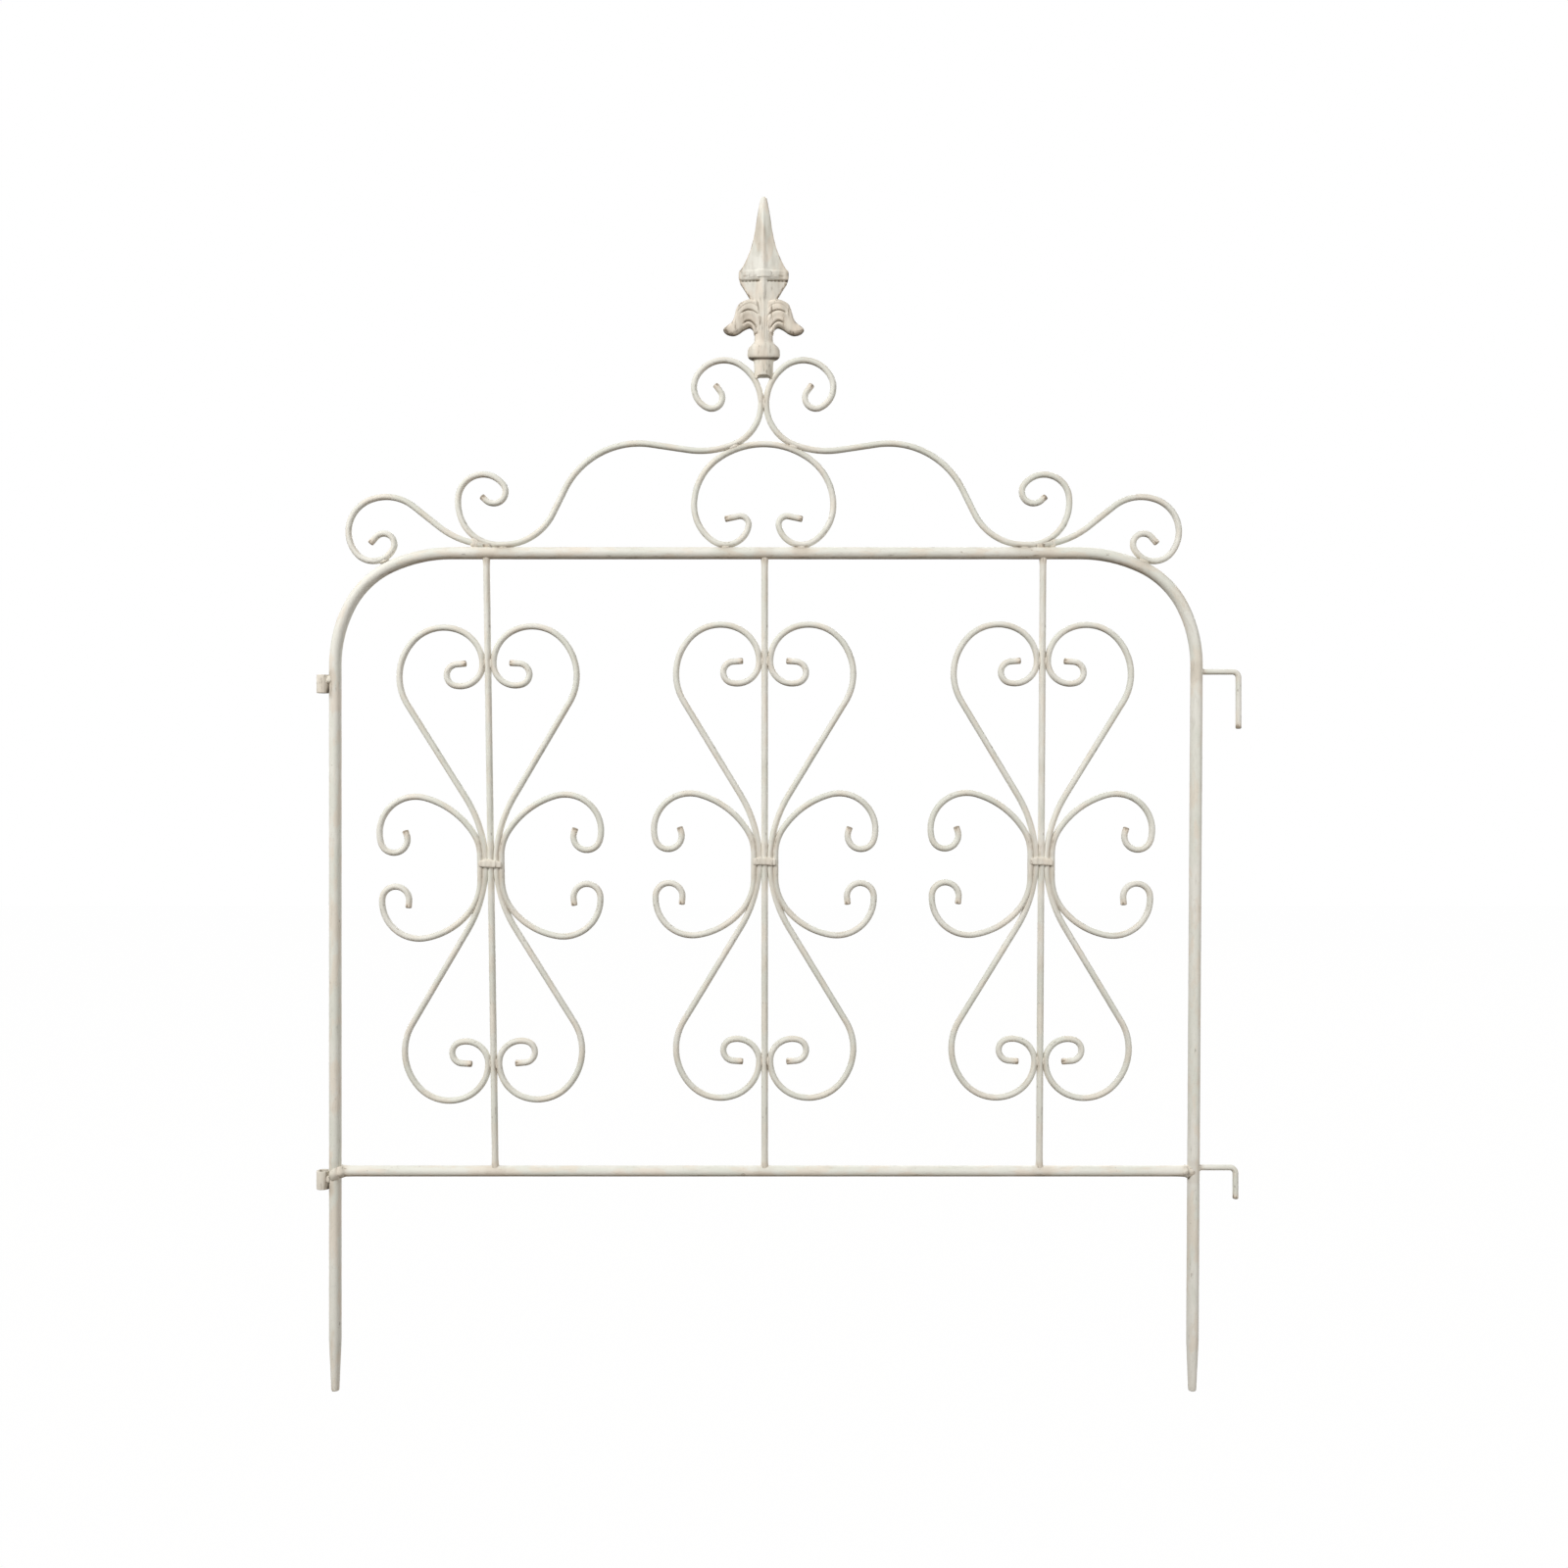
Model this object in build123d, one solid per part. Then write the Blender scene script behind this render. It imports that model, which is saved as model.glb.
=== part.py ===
from build123d import *
import os
from math import cos, radians, sin, tan

# One panel of an expandable garden fence: a bent tube hoop, three bays of wire scrollwork
# and a wire crest with a cast spear finial. Millimetres, +Z up, the front faces -Y.
# The origin is the flat face under the tip of the left leg, and +X runs to the right leg.

# Stock
tube_diameter = 12.2
rail_diameter = 10.6
upright_diameter = 6.3
wire_diameter = 5.6
pin_diameter = 5.8
weld_bite = 0.35

# Hoop: two legs, two eased corner bends and the top rail
top_rail_height = 854.4
frame_width = 874.0
corner_turn = 90.0
corner_lead_in_radius = 131.0
corner_lead_in_angle = 27.0
corner_tight_radius = 90.0
corner_tight_angle = 38.0
corner_lead_out_radius = 146.0
right_leg_lean = 0.35
point_length = 50.0
point_diameter = 7.8
point_fillet = 1.6

# Bottom rail
bottom_rail_height = 224.0
rail_weld_radius = 6.4
rail_weld_inset = 2.1
rail_weld_forward = 2.6

# Bays: one upright each, leaning a little as the welder left them. Their scrollwork shares the
# free width with the gaps, and the collars sit midway between the rails
leg_gap_share = 0.3725
middle_bay_offset = 1.1
collar_rise = 1.0
bay_leans = (0.83, 0.0, -0.35)
bay_drops = (2.4, 0.0, 0.0)

# Half-heart bends, from the collar outwards: lead, straight leg, lobe, hook
heart_lead_radius = 130.0
heart_leg_angle = 31.3
heart_shoulder_radius = 54.0
heart_shoulder_turn = 74.0
heart_crown_radius = 42.5
heart_crown_turn = 71.5
heart_cheek_radius = 37.0
heart_hook_radius = 22.6
heart_hook_turn = 105.0
heart_curl_radius = 11.0
heart_curl_turn = 161.0
heart_tail = 9.0

# Side scroll bends, from the collar outwards: the upper end, then the lower end
side_leads = (7.8, 16.5)
side_elbow_radii = (45.0, 52.0)
side_elbow_turns = (33.0, 40.5)
side_sweep_radii = (85.1, 74.0)
side_sweep_turns = (41.0, 39.5)
side_crown_radii = (36.8, 38.0)
side_crown_turns = (122.0, 104.0)
side_curl_radius = 13.7
side_curl_turn = 182.0
side_tails = (4.0, 6.0)

# Collar: a strap pressed over the front and another over the back of the bundle
collar_width = 24.0
collar_length = 8.0
collar_thickness = 2.2
collar_saddle_depth = 1.4
collar_corner_radius = 2.0
collar_edge_radius = 0.55

# Horseshoe bends, from its crown down to the top rail and into the curl
horseshoe_crown_radius = 80.0
horseshoe_crown_turn = 36.3
horseshoe_side_radius = 58.0
horseshoe_side_turn = 54.0
horseshoe_heel_radius = 44.0
horseshoe_heel_turn = 55.5
horseshoe_foot_radius = 23.5
horseshoe_foot_turn = 114.0
horseshoe_curl_radius = 8.5
horseshoe_curl_turn = 112.0
horseshoe_tail = 13.5

crest_offset = 0.1

# Crest wire bends. The crest weld is the point where it touches the horseshoe
crest_weld_angle = 21.5
crest_valley_angle = 8.5
crest_valley_radius = 90.0
crest_slope_length = 38.0
crest_hump_radius = 84.0
crest_hump_turn = 72.2
crest_heel_radius = 57.0
crest_rail_flat = 4.0
crest_lobe_radii = (41.0, 48.0, 25.5, 12.0)
crest_lobe_turns = (66.0, 30.0, 137.0, 170.0)
crest_lobe_tail = 5.0
crest_top_radii = (47.5, 31.8, 23.0, 11.1)
crest_top_turns = (52.0, 98.5, 94.0, 152.0)
crest_top_tail = 7.6

# Outer scroll bends, from where it rests on the hoop's corner
scroll_heel_radius = 22.8
scroll_heel_turn = 76.5
scroll_toe_turn = 37.5
scroll_curl_radius = 10.8
scroll_curl_turn = 166.0
scroll_tail = 8.0
scroll_flank_radius = 34.6
scroll_flank_turn = 107.0
scroll_brow_radius = 45.0
scroll_slope_angle = 38.5
scroll_landing_radius = 85.0
scroll_landing_overlap = 20.0

# Finial: a flat cast spear on a knop, the same from the front and the back
finial_seat = 25.7
finial_thickness = 14.0
finial_edge = 3.4
finial_base_width = 19.6
finial_base_height = 19.6
finial_mouth_width = 13.0
knop_width = 33.0
knop_height = 13.6
knop_round = 5.7
stem_width = 18.6
stem_height = 39.8
leaf_rise = 10.8
leaf_points = ((18.7, 34.1), (27.8, 24.9), (32.0, 15.8), (41.5, 5.3), (31.3, 0.0), (21.5, 3.9), (11.7, 1.8))
leaf_top = 37.5
leaf_thickness = 9.0
leaf_bevel = 1.7
vein_radius = 1.3
vein_rises = (11.5, 24.0)
vein_reaches = (24.0, 22.5)
vein_arch = 5.0
cup_height = 24.0
cup_width = 46.0
cup_waist = 27.5
cup_waist_height = 8.0
band_width = 51.0
band_height = 8.2
band_lip = 3.4
band_stand = 1.0
band_round = 3.7
blade_height = 77.0
blade_stations = (0.0, 0.06, 0.15, 0.37, 0.66, 0.90, 1.0)
blade_widths = (50.9, 42.0, 34.5, 25.0, 13.6, 7.6, 3.0)
blade_flatness = 0.62
blade_edge_share = 0.8

# Hinges that join one panel to the next: sleeves on the left leg, drop pins on the right
socket_diameter = 13.2
socket_bore = 9.6
socket_height = 18.5
upper_socket_drop = 124.2
lower_socket_rise = 0.6
pin_seat_clearance = 0.2
pin_reach = 43.0
pin_bend_radius = 6.0
pin_drops = (57.0, 31.0)
pin_chamfer = 0.7

tube_radius = tube_diameter / 2
upright_radius = upright_diameter / 2
wire_radius = wire_diameter / 2
pin_radius = pin_diameter / 2
wire_on_tube = tube_radius + wire_radius - weld_bite
wire_on_upright = upright_radius + wire_radius - weld_bite
wire_on_wire = wire_diameter - weld_bite
rest_height = top_rail_height + wire_on_tube
collar_height = (top_rail_height + bottom_rail_height) / 2 + collar_rise
socket_tops = (top_rail_height - upper_socket_drop, bottom_rail_height + lower_socket_rise)


def walk(start, heading, bends):
    """Follows bends in the panel's plane. A bend is (radius, turn), left turns positive, or (0, length)."""
    x, z = start
    edges = []
    for radius, amount in bends:
        tangent = (cos(radians(heading)), sin(radians(heading)))
        if radius == 0:
            end = (x + amount * tangent[0], z + amount * tangent[1])
            if amount > 0.01:
                edges.append(Line((x, z), end))
        else:
            edges.append(JernArc((x, z), tangent, radius, amount))
            side = radius if amount > 0 else -radius
            heading += amount
            end = (x - side * (tangent[1] - sin(radians(heading))), z + side * (tangent[0] - cos(radians(heading))))
        x, z = end
    return edges, (x, z), heading


def rod(edges, start, heading, diameter):
    """A round rod along bends that were walked in the panel's plane."""
    path = Plane.XZ * Wire(edges)
    section = Plane(
        origin=(start[0], 0, start[1]),
        z_dir=(cos(radians(heading)), 0, sin(radians(heading))),
    ) * Circle(diameter / 2)
    return sweep(section, path=path)


def bent_wire(start, heading, bends, diameter=wire_diameter):
    """The solid of one wire that starts somewhere and follows its bends."""
    edges, _, _ = walk(start, heading, bends)
    return rod(edges, start, heading, diameter)


def turned(bends, sense=-1):
    """The same bends with their turns the other way."""
    return [(radius, amount if radius == 0 else sense * amount) for radius, amount in bends]


def mirrored(shape):
    """The same shape on the other side of its own middle."""
    return mirror(shape, about=Plane.YZ)


def one_solid(shape):
    """The largest solid of a shape, without slivers that a cut may leave."""
    return max(shape.solids(), key=lambda solid: solid.volume)


# Hoop
def corner_bends(total):
    """From a leg into the rail: an easy lead in, the tight bend and an easy lead out."""
    lead_out = total - corner_lead_in_angle - corner_tight_angle
    return [
        (corner_lead_in_radius, corner_lead_in_angle),
        (corner_tight_radius, corner_tight_angle),
        (corner_lead_out_radius, lead_out),
    ]


def corner_offset():
    """How far a corner bend reaches across and up, from its start to its end."""
    _, end, _ = walk((0, 0), 90, turned(corner_bends(corner_turn)))
    return end


corner_across, corner_up = corner_offset()
leg_straight = top_rail_height - corner_up
right_corner_x = frame_width + tan(radians(right_leg_lean)) * leg_straight
top_straight = right_corner_x - 2 * corner_across


def right_leg_x(height):
    """The right leg's centreline leans outwards towards the top."""
    return frame_width + tan(radians(right_leg_lean)) * height


def leg_point():
    """The pointed foot of a leg, swaged down from the tube and blunt at the ground."""
    foot = Pos(0, 0, point_length / 2) * Cone(point_diameter / 2, tube_radius, point_length)
    edge = foot.edges().sort_by(Axis.Z)[0]
    return fillet(edge, point_fillet)


def make_hoop():
    right_corner = list(reversed(corner_bends(corner_turn + right_leg_lean)))
    bends = [(0, leg_straight - point_length)]
    bends += turned(corner_bends(corner_turn))
    bends += [(0, top_straight)]
    bends += turned(right_corner)
    _, corner_end, _ = walk((0, point_length), 90, bends)
    bends += [(0, corner_end[1] / cos(radians(right_leg_lean)) - point_length)]
    edges, end, _ = walk((0, point_length), 90, bends)
    tube = rod(edges, (0, point_length), 90, tube_diameter)
    foot_x = end[0] - point_length * sin(radians(right_leg_lean))
    right_foot = Pos(foot_x, 0, 0) * Rot(0, right_leg_lean, 0) * leg_point()
    return tube + leg_point() + right_foot, foot_x


hoop, right_foot_x = make_hoop()
middle = frame_width / 2 + middle_bay_offset
crest_middle = frame_width / 2 + crest_offset


def make_bottom_rail():
    right = right_leg_x(bottom_rail_height)
    bar = Pos(right / 2, 0, bottom_rail_height) * Rot(0, 90, 0) * Cylinder(rail_diameter / 2, right)
    inset = tube_radius + rail_weld_inset
    for x in (inset, right - inset):
        bar += Pos(x, -rail_weld_forward, bottom_rail_height) * Sphere(rail_weld_radius)
    return one_solid(bar - hoop)


bottom_rail = make_bottom_rail()


# One bay, drawn about its own upright at x = 0 with the collar at z = 0
def half_heart_bends():
    """Lead out of the collar, a straight leg, the lobe back to the upright, and the hook."""
    cheek_turn = 180 + heart_leg_angle - heart_shoulder_turn - heart_crown_turn
    lobe = [
        (heart_shoulder_radius, heart_shoulder_turn),
        (heart_crown_radius, heart_crown_turn),
        (heart_cheek_radius, cheek_turn),
    ]
    lead = [(heart_lead_radius, -heart_leg_angle)]
    _, touch, _ = walk((0, 0), 90, lead + lobe)
    leg = -touch[0] / sin(radians(heart_leg_angle))
    hook = [
        (heart_hook_radius, heart_hook_turn),
        (heart_curl_radius, heart_curl_turn),
        (0, heart_tail),
    ]
    return lead + [(0, leg)] + lobe + hook


def side_scroll_bends(end):
    return [
        (0, side_leads[end]),
        (side_elbow_radii[end], -side_elbow_turns[end]),
        (side_sweep_radii[end], -side_sweep_turns[end]),
        (side_crown_radii[end], -side_crown_turns[end]),
        (side_curl_radius, -side_curl_turn),
        (0, side_tails[end]),
    ]


def double_ended(x, upper_bends, lower_bends):
    """One wire that leaves the collar upwards and downwards."""
    lower = bent_wire((x, 0), 90, lower_bends)
    return bent_wire((x, 0), 90, upper_bends) + mirror(lower, about=Plane.XY)


heart_right = double_ended(wire_on_upright, half_heart_bends(), half_heart_bends())
side_right = double_ended(wire_on_upright + wire_on_wire, side_scroll_bends(0), side_scroll_bends(1))
bay_reach = side_right.bounding_box().max.X
free_width = frame_width / 2 - tube_radius - 3 * bay_reach
bay_spacing = 2 * bay_reach + (1 - leg_gap_share) * free_width


def make_collar(cutters):
    """Front and back straps, pressed over the wires of the bundle."""
    depth = collar_thickness + collar_saddle_depth
    strap = Box(collar_width, depth, collar_length)
    strap = fillet(strap.edges().filter_by(Axis.Y), collar_corner_radius)
    front_face = strap.faces().sort_by(Axis.Y)[0]
    strap = fillet(front_face.edges(), collar_edge_radius)
    forward = upright_radius + collar_thickness - depth / 2
    front = Pos(0, -forward, 0) * strap
    for cutter in cutters:
        front = front - cutter
    front = one_solid(front)
    return front, mirror(front, about=Plane.XZ)


def make_bay(x, lean, drop):
    """The upright and its scrollwork, leaning as one about the head of the upright."""
    hang = top_rail_height - collar_height + drop
    place = Pos(x, 0, top_rail_height) * Rot(0, -lean, 0) * Pos(0, 0, -hang)
    length = top_rail_height - bottom_rail_height
    bar = Pos(0, 0, hang - length / 2) * Cylinder(upright_radius, length)
    hearts = [one_solid(side - bar) for side in (mirrored(heart_right), heart_right)]
    pairs = zip((mirrored(side_right), side_right), hearts)
    sides = [one_solid(side - heart) for side, heart in pairs]
    front, back = make_collar([bar] + hearts + sides)
    pieces = {
        "upright": one_solid(place * bar - hoop - bottom_rail),
        "heart_left": place * hearts[0],
        "heart_right": place * hearts[1],
        "scroll_left": place * sides[0],
        "scroll_right": place * sides[1],
        "collar": Compound(children=[place * front, place * back]),
    }
    return pieces


# Crest, drawn to the right of its own middle at x = 0 and mirrored for the left
def horseshoe_bends():
    down = [
        (horseshoe_crown_radius, -horseshoe_crown_turn),
        (horseshoe_side_radius, -horseshoe_side_turn),
        (horseshoe_heel_radius, -horseshoe_heel_turn),
    ]
    to_rest = 180 - horseshoe_crown_turn - horseshoe_side_turn - horseshoe_heel_turn
    foot = [(horseshoe_foot_radius, -to_rest)]
    curl = [
        (horseshoe_foot_radius, to_rest - horseshoe_foot_turn),
        (horseshoe_curl_radius, -horseshoe_curl_turn),
        (0, horseshoe_tail),
    ]
    return down + foot, curl


down_bends, curl_bends = horseshoe_bends()
_, horseshoe_rest, _ = walk((0, 0), 0, down_bends)
horseshoe_crown = rest_height - horseshoe_rest[1]


def make_horseshoe():
    half = bent_wire((0, horseshoe_crown), 0, down_bends + curl_bends)
    return half + mirrored(half)


def crest_weld_point():
    """A point one wire outside the horseshoe's crown, where the crest wire is tangent to it."""
    reach = horseshoe_crown_radius + wire_on_wire
    angle = radians(crest_weld_angle)
    return reach * sin(angle), horseshoe_crown - horseshoe_crown_radius + reach * cos(angle)


def make_crest_wire():
    """From the weld the wire rises to meet its twin and curls over, and runs out to the top rail."""
    weld = crest_weld_point()
    inward = 180 - crest_weld_angle
    pair_x = wire_on_wire / 2
    climb_radius = (weld[0] - pair_x) / (1 - sin(radians(crest_weld_angle)))
    climb = [(climb_radius, 90 - inward)]
    _, pair, _ = walk(weld, inward, climb)
    top = climb + turned(zip(crest_top_radii, crest_top_turns)) + [(0, crest_top_tail)]
    upper = bent_wire(weld, inward, top)
    descent = crest_hump_turn - crest_valley_angle
    valley = [
        (crest_valley_radius, crest_weld_angle + crest_valley_angle),
        (0, crest_slope_length),
        (crest_hump_radius, -crest_hump_turn),
    ]
    heel = [(crest_heel_radius, descent)]
    _, low, _ = walk(weld, -crest_weld_angle, valley + heel)
    drop = (low[1] - rest_height) / sin(radians(descent))
    lobe = [(0, crest_rail_flat), *zip(crest_lobe_radii, crest_lobe_turns), (0, crest_lobe_tail)]
    outward = valley + [(0, drop)] + heel + lobe
    lower = bent_wire(weld, -crest_weld_angle, outward)
    _, rail_rest, _ = walk(weld, -crest_weld_angle, valley + [(0, drop)] + heel)
    return upper + lower, pair, rail_rest


horseshoe = make_horseshoe()
crest_right, pair_point, crest_rest = make_crest_wire()


def scroll_rest():
    """Where the outer scroll rests on the hoop, at the joint of two corner bends, and the hoop's slope there."""
    slope = 90 - corner_lead_in_angle - corner_tight_angle
    _, end, _ = walk((0, 0), 0, [(corner_lead_out_radius, -slope)])
    x = corner_across + top_straight - crest_middle + end[0] + wire_on_tube * sin(radians(slope))
    return (x, top_rail_height + end[1] + wire_on_tube * cos(radians(slope))), slope


def make_outer_scroll():
    """It rests on the hoop's corner, curls up inside, and runs back over its brow to the crest wire."""
    rest, slope = scroll_rest()
    toe = [
        (scroll_heel_radius, -scroll_toe_turn),
        (scroll_curl_radius, -scroll_curl_turn),
        (0, scroll_tail),
    ]
    curl = bent_wire(rest, 180 - slope, toe)
    flank = [
        (scroll_heel_radius, scroll_heel_turn),
        (scroll_flank_radius, scroll_flank_turn),
    ]
    _, _, heading = walk(rest, -slope, flank)
    brow = [(scroll_brow_radius, 180 + scroll_slope_angle - heading)]
    landing = [(scroll_landing_radius, -scroll_slope_angle)]
    _, end, _ = walk(rest, -slope, flank + brow + landing)
    run = (end[1] - rest_height) / sin(radians(scroll_slope_angle))
    _, end, _ = walk(rest, -slope, flank + brow + [(0, run)] + landing)
    overlap = [(0, end[0] - crest_rest[0] - scroll_landing_overlap)]
    return curl + bent_wire(rest, -slope, flank + brow + [(0, run)] + landing + overlap)


outer_scroll_right = make_outer_scroll()


# Finial, drawn about x = 0 with its seat at z = 0
def blade_section(width, height, thickness):
    """A flat diamond with blunt edges."""
    ridge = thickness / 2
    edge = min(finial_edge, thickness * blade_edge_share) / 2
    side = width / 2
    points = [(side, -edge), (side, edge), (0, ridge), (-side, edge), (-side, -edge), (0, -ridge)]
    return Pos(0, 0, height) * make_face(Polyline(*points, close=True))


def make_blade(base):
    sections = []
    for station, width in zip(blade_stations, blade_widths):
        thickness = min(finial_thickness, width * blade_flatness)
        sections.append(blade_section(width, base + station * blade_height, thickness))
    return loft(sections, ruled=True)


def make_leaf():
    """One drooping leaf beside the stem, drawn for the right side."""
    shoulder, elbow, wrist, tip, heel, arch, root = leaf_points
    outline = [
        Line((0, root[1]), (0, leaf_top)),
        Line((0, leaf_top), (stem_width / 2, leaf_top)),
        Spline((stem_width / 2, leaf_top), shoulder, elbow, wrist, tip),
        Spline(tip, heel, arch, root),
        Line(root, (0, root[1])),
    ]
    face = Plane.XZ * make_face(Wire(outline))
    leaf = extrude(face, amount=leaf_thickness / 2, both=True)
    leaf = chamfer(leaf.faces().sort_by(Axis.Y)[0].edges(), leaf_bevel)
    leaf = chamfer(leaf.faces().sort_by(Axis.Y)[-1].edges(), leaf_bevel)
    for rise, reach in zip(vein_rises, vein_reaches):
        vein = make_vein(rise, reach)
        leaf = leaf - vein - mirror(vein, about=Plane.XZ)
    return leaf


def make_vein(rise, reach):
    """A groove that arches over one side of a leaf, at its front face."""
    start = stem_width / 2
    front = -leaf_thickness / 2
    crown = ((start + reach) / 2, front, rise + vein_arch)
    path = Wire(ThreePointArc((start, front, rise), crown, (reach, front, rise)))
    return sweep(Plane(origin=path @ 0, z_dir=path % 0) * Circle(vein_radius), path=path)


def make_finial():
    base = Pos(0, 0, finial_base_height / 2) * Cylinder(finial_base_width / 2, finial_base_height)
    base = base - Rot(90, 0, 0) * Cylinder(finial_mouth_width / 2, finial_base_width * 2)
    knop = Pos(0, 0, finial_base_height + knop_height / 2) * Cylinder(knop_width / 2, knop_height)
    knop = fillet(knop.edges(), knop_round)
    stem_base = finial_base_height + knop_height
    stem = Pos(0, 0, stem_base + stem_height / 2) * Cylinder(stem_width / 2, stem_height)
    leaf = Pos(0, 0, stem_base + leaf_rise) * make_leaf()
    leaves = leaf + mirrored(leaf)
    cup_base = stem_base + stem_height
    lip_base = cup_base + cup_height
    cup = loft([
        blade_section(stem_width, cup_base, finial_thickness),
        blade_section(cup_waist, cup_base + cup_waist_height, finial_thickness),
        blade_section(cup_width, lip_base, finial_thickness),
    ], ruled=True)
    lip = Pos(0, 0, lip_base + band_lip / 2) * Box(cup_width + band_stand, finial_thickness, band_lip)
    band = Pos(0, 0, lip_base + band_lip + band_height / 2)
    band = band * Box(band_width, finial_thickness + 2 * band_stand, band_height)
    band = fillet(band.edges().filter_by(Axis.X), band_round)
    blade = make_blade(lip_base + band_lip + band_height)
    slab = Box(2 * knop_width, finial_thickness + 2 * band_stand, 2 * cup_base)
    turned_parts = (base + knop + stem) & slab
    return turned_parts + leaves + cup + lip + band + blade


finial_height = pair_point[1] + finial_seat
finial = Pos(0, 0, finial_height) * make_finial()


# Hinges
def make_socket(top):
    offset = tube_radius + socket_diameter / 2 - weld_bite
    sleeve = Cylinder(socket_diameter / 2, socket_height) - Cylinder(socket_bore / 2, socket_height)
    return one_solid(Pos(-offset, 0, top - socket_height / 2) * sleeve - hoop)


def make_drop_pin(top, drop):
    """An arm welded to the right leg, bent down to drop into the next panel's sleeve."""
    height = top + pin_seat_clearance + pin_radius
    start = (right_leg_x(height), height)
    arm = pin_reach - pin_bend_radius
    bends = [(0, arm), (pin_bend_radius, -90), (0, drop - pin_bend_radius)]
    pin = bent_wire(start, 0, bends, pin_diameter)
    tip = pin.edges().sort_by(Axis.Z)[0]
    pin = chamfer(tip, pin_chamfer)
    return one_solid(pin - hoop)


parts = {"hoop": hoop, "bottom_rail": bottom_rail}
bay_names = ("left", "middle", "right")
for number, bay_name in enumerate(bay_names):
    bay = make_bay(middle + (number - 1) * bay_spacing, bay_leans[number], bay_drops[number])
    for piece_name, piece in bay.items():
        parts[f"{bay_name}_bay_{piece_name}"] = piece

to_crest = Pos(crest_middle, 0, 0)
horseshoe = to_crest * horseshoe
parts["crest_horseshoe"] = one_solid(horseshoe - hoop)
right_wire = one_solid(to_crest * crest_right - hoop - horseshoe)
left_wire = one_solid(to_crest * mirrored(crest_right) - hoop - horseshoe - right_wire)
parts["crest_wire_left"] = left_wire
parts["crest_wire_right"] = right_wire
scroll_right = to_crest * outer_scroll_right
scroll_left = to_crest * mirrored(outer_scroll_right)
parts["outer_scroll_left"] = one_solid(scroll_left - hoop - left_wire)
parts["outer_scroll_right"] = one_solid(scroll_right - hoop - right_wire)
parts["finial"] = one_solid(to_crest * finial - left_wire - right_wire)
for level, top in zip(("upper", "lower"), socket_tops):
    parts[f"{level}_socket"] = make_socket(top)
for level, top, drop in zip(("upper", "lower"), socket_tops, pin_drops):
    parts[f"{level}_drop_pin"] = make_drop_pin(top, drop)

if __name__ == "__main__":
    os.makedirs("parts", exist_ok=True)
    for name, shape in parts.items():
        export_step(shape, f"parts/{name}.step")
        print(name, round(shape.volume, 1))
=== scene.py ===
# %% [markdown]
# # A scrollwork garden fence panel
# The real panel is a bent steel tube with pointed legs, three bays of thin bent wire, a wire
# crest and a cast spear on top, all painted in worn cream. The solid model already has every
# piece at its place. Here each piece gets a finer surface and a worn finish.
# Lengths below are in millimetres, as a smith would write them, and meshes are stored in metres.
# X runs along the fence, Z is up and the front looks towards -Y.

# %% Load the solid model
from math import copysign, cos, pi, radians, sin, tan

import bpy
import numpy as np
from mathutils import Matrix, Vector


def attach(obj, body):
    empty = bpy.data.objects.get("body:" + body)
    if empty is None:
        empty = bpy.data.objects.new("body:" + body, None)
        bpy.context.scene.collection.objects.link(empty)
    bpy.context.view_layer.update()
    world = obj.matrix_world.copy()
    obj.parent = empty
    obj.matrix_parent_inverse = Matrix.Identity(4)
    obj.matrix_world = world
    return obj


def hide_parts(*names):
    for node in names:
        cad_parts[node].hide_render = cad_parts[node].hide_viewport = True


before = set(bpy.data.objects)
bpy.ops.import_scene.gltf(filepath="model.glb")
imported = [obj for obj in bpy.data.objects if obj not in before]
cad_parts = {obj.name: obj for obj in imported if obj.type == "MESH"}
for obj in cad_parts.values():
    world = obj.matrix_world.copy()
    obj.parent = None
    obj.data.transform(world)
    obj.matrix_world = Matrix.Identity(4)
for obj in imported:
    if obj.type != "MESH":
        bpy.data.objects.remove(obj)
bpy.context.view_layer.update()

MM = 0.001

# %% [markdown]
# ## The camera
# The photograph looks straight at the middle of the panel, so the legs stay parallel. But it looks
# down into the open top of the lower sleeve and sees the upper one level, so the camera was near,
# under two metres away. A 33.75 mm lens at 1.5 m sees a square of 1.6 m at the panel's plane.

# %% The camera
picture_width = 1.6
camera_distance = 1.5
sensor = 36.0
picture_centre = (0.4578, 0.6189)

camera_data = bpy.data.cameras.new("camera")
camera_data.lens = sensor * camera_distance / picture_width
camera_data.sensor_width = sensor
camera = bpy.data.objects.new("camera", camera_data)
camera.location = (picture_centre[0], -camera_distance, picture_centre[1])
camera.rotation_euler = (radians(90), 0, 0)
bpy.context.scene.collection.objects.link(camera)
bpy.context.scene.camera = camera
bpy.context.scene.view_settings.view_transform = "Standard"
print("camera at", tuple(camera.location))

# %% [markdown]
# ## Light
# The photograph was lit by a large soft light from the upper left and front: tops and left sides
# are bright, right sides fall to about six tenths of that, and undersides to a dark warm grey.
# One big area lamp makes that, a weaker one from the right keeps the dark sides readable, one
# behind lights the back for other views, and the world adds a little light from all round. The
# world is white only where the camera or a reflection looks at it.

# %% The lamps
panel_middle = Vector((0.44, 0.0, 0.62))


def add_lamp(name, around, height, distance, size, brightness):
    """A square area lamp that faces the middle of the panel, at angles in degrees around from the
    front towards the right and up from level. A lamp lights a white surface that faces it to a
    brightness of its power over pi squared times its distance squared."""
    level, rise = distance * cos(radians(height)), distance * sin(radians(height))
    arm = Vector((level * sin(radians(around)), -level * cos(radians(around)), rise))
    data = bpy.data.lights.new(name, "AREA")
    data.size = size
    data.energy = brightness * (pi * distance) ** 2
    lamp = bpy.data.objects.new(name, data)
    lamp.location = panel_middle + arm
    lamp.rotation_euler = (-arm).to_track_quat("-Z", "Y").to_euler()
    bpy.context.scene.collection.objects.link(lamp)
    print(name, round(data.energy), "W")


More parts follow.
